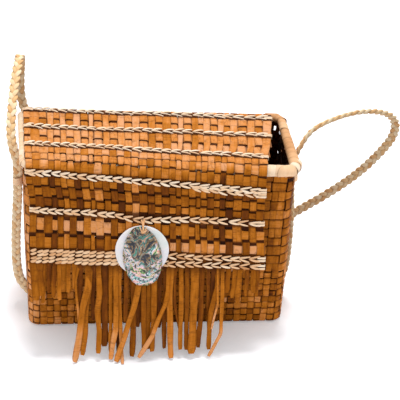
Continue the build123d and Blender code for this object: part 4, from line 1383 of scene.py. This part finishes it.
FACE_SHARES = (POLE, 0.25, 0.5, 0.7, 0.85, 0.94)
rings = [disc_ring(share, DISC_BACK + DISC_EDGE + DISC_RISE * (1 - share**2)) for share in FACE_SHARES]
for share, thick in ((0.985, DISC_EDGE), (1.0, 0.8), (1.0, 0.4), (0.985, 0.0), (0.6, 0.0), (POLE, 0.0)):
    rings.append(disc_ring(share, DISC_BACK + thick))
surface_piece("pearl_round", rings, "pearl", ["pearl_disc"], "pendant")

OUTSIDE_SHARES = (POLE, 0.12, 0.24, 0.36, 0.48, 0.58, 0.68, 0.77, 0.85, 0.91, 0.96, 0.99, 1.0)
rings = [shell_ring(share, SHELL_RISE, 0) for share in OUTSIDE_SHARES]
for share in (1.0, 0.97, 0.9, 0.75, 0.5, 0.25, POLE):
    rings.append(shell_ring(share, SHELL_RISE - SHELL_THICK, SHELL_THICK))
surface_piece("abalone_dome", rings, "abalone", ["abalone_shell"], "pendant")

# Tie: two strands over the shell's top to row E, three turns of a knot, its ends and a pin
KNOT_OUT = 8.5
TIE_WIDTH, TIE_TONE = 1.7, 0.3
PIN_WIDTH, PIN_THICK, PIN_TONE = 1.9, 1.5, 0.5
tie = Strips()
t = np.linspace(0, 1, 24)
for lane, spread in ((-0.8, 0.9), (0.7, -0.7)):
    up = -TIE_DROP + t * 9.6
    out = KNOT_OUT + 1.3 * np.sin(pi * np.minimum(t * 2, 1)) - (KNOT_OUT - 0.9) * smooth((t - 0.3) / 0.7)
    x = PENDANT_X + lane + spread * np.sin(t * 4)
    centre = leaf_points(x, up, out)
    normal = leaf_points(x, up + smooth((t - 0.2) / 0.8) * 0.9, out + 0.6) - centre
    tie.ribbon(centre, normal, TIE_WIDTH, TIE_TONE)
turn = np.linspace(0, 2 * pi, 26)
for number in range(3):
    up = -TIE_DROP + (number - 1) * 1.0
    x = PENDANT_X + 2.0 * np.cos(turn) * (1 if number else 0.6) + 0.3 * number
    centre = leaf_points(x, up + 0.6 * np.sin(turn + number), KNOT_OUT + 1.9 * np.sin(turn))
    tie.ribbon(centre, centre - leaf_points(PENDANT_X, up, KNOT_OUT), TIE_WIDTH, 0.2 + 0.12 * number)
t = np.linspace(0, 1, 14)
for side in (-1, 1):
    x = PENDANT_X + side * (0.8 + 2.4 * t)
    centre = leaf_points(x, -TIE_DROP + 4.0 * t, KNOT_OUT + 1.4 - 3.0 * t * t)
    tie.ribbon(centre, flap_normal(np.full(14, Q_LEAF + 50)), 1.5 * (1 - 0.4 * t), TIE_TONE, 0.5)
pin = leaf_points(PENDANT_X, -TIE_DROP, np.linspace(0.2, KNOT_OUT, 8))
tie.ribbon(pin, np.tile([1.0, 0, 0], (8, 1)), PIN_WIDTH, PIN_TONE, PIN_THICK)
place(tie, "shell_tie_strands", "raffia", ["shell_tie"], body="flap_front")

# Floor, light and camera
scene = bpy.context.scene


def add_floor():
    """A white table that keeps the bag's shadow. It glows a little for the camera alone."""
    half, below = 4.0, -0.0006
    mesh = bpy.data.meshes.new("floor")
    corners = [(-half, -half, below), (half, -half, below), (half, half, below), (-half, half, below)]
    mesh.from_pydata(corners, [], [(0, 1, 2, 3)])
    floor = bpy.data.objects.new("floor", mesh)
    scene.collection.objects.link(floor)
    n = Nodes(bpy.data.materials.new("floor"))
    grain = n.noise(n.coordinates("Object"), 3.0)
    colour = n.ramp(grain, [(0.0, (0.91, 0.91, 0.95, 1)), (1.0, (0.93, 0.93, 0.96, 1))])
    n.link(colour, n.surface.inputs["Base Color"])
    n.surface.inputs["Roughness"].default_value = 0.9
    n.surface.inputs["Specular IOR Level"].default_value = 0.1
    glow, added = n.new("ShaderNodeEmission"), n.new("ShaderNodeAddShader")
    seen = n.new("ShaderNodeLightPath").outputs["Is Camera Ray"]
    n.link(n.math("MULTIPLY", seen, 0.2), glow.inputs["Strength"])
    n.feed(added.inputs, (n.surface.outputs[0], glow.outputs[0]))
    n.link(added.outputs[0], n.tree.nodes["Material Output"].inputs["Surface"])
    mesh.materials.append(n.owner)


def add_lights():
    """A white world, a little dimmer as a light than it looks, and a soft light from above."""
    w = Nodes(bpy.data.worlds.new("studio"), "Background")
    w.surface.inputs["Color"].default_value = WHITE
    rays = w.new("ShaderNodeLightPath").outputs
    strength = w.new("ShaderNodeMapRange", To_Min=0.8, To_Max=1.0)
    w.link(w.math("MAXIMUM", rays["Is Camera Ray"], rays["Is Glossy Ray"]), strength.inputs["Value"])
    w.link(strength.outputs[0], w.surface.inputs["Strength"])
    scene.world = w.owner
    data = bpy.data.lights.new("softbox", "SUN")
    data.energy = 1.7
    data.angle = radians(10)
    sun = bpy.data.objects.new("softbox", data)
    scene.collection.objects.link(sun)
    sun.rotation_euler = Vector((0.03, 0.16, 1.0)).to_track_quat("Z", "Y").to_euler()


def add_camera():
    """The camera fitted to the photograph."""
    yaw, pitch, roll = radians(5.30), radians(32.87), radians(2.22)
    forward = Vector((sin(yaw) * cos(pitch), cos(yaw) * cos(pitch), -sin(pitch)))
    level = Vector((cos(yaw), -sin(yaw), 0.0))
    upright = level.cross(forward)
    x = cos(roll) * level + sin(roll) * upright
    y = -sin(roll) * level + cos(roll) * upright
    data = bpy.data.cameras.new("camera")
    data.lens = 145.15
    data.sensor_width = 36.0
    camera = bpy.data.objects.new("camera", data)
    scene.collection.objects.link(camera)
    placed = Matrix((x, y, -forward)).transposed().to_4x4()
    placed.translation = (-0.0783, -1.3379, 0.9842)
    camera.matrix_world = placed
    scene.camera = camera


add_floor()
add_lights()
add_camera()
scene.view_settings.view_transform = "Standard"
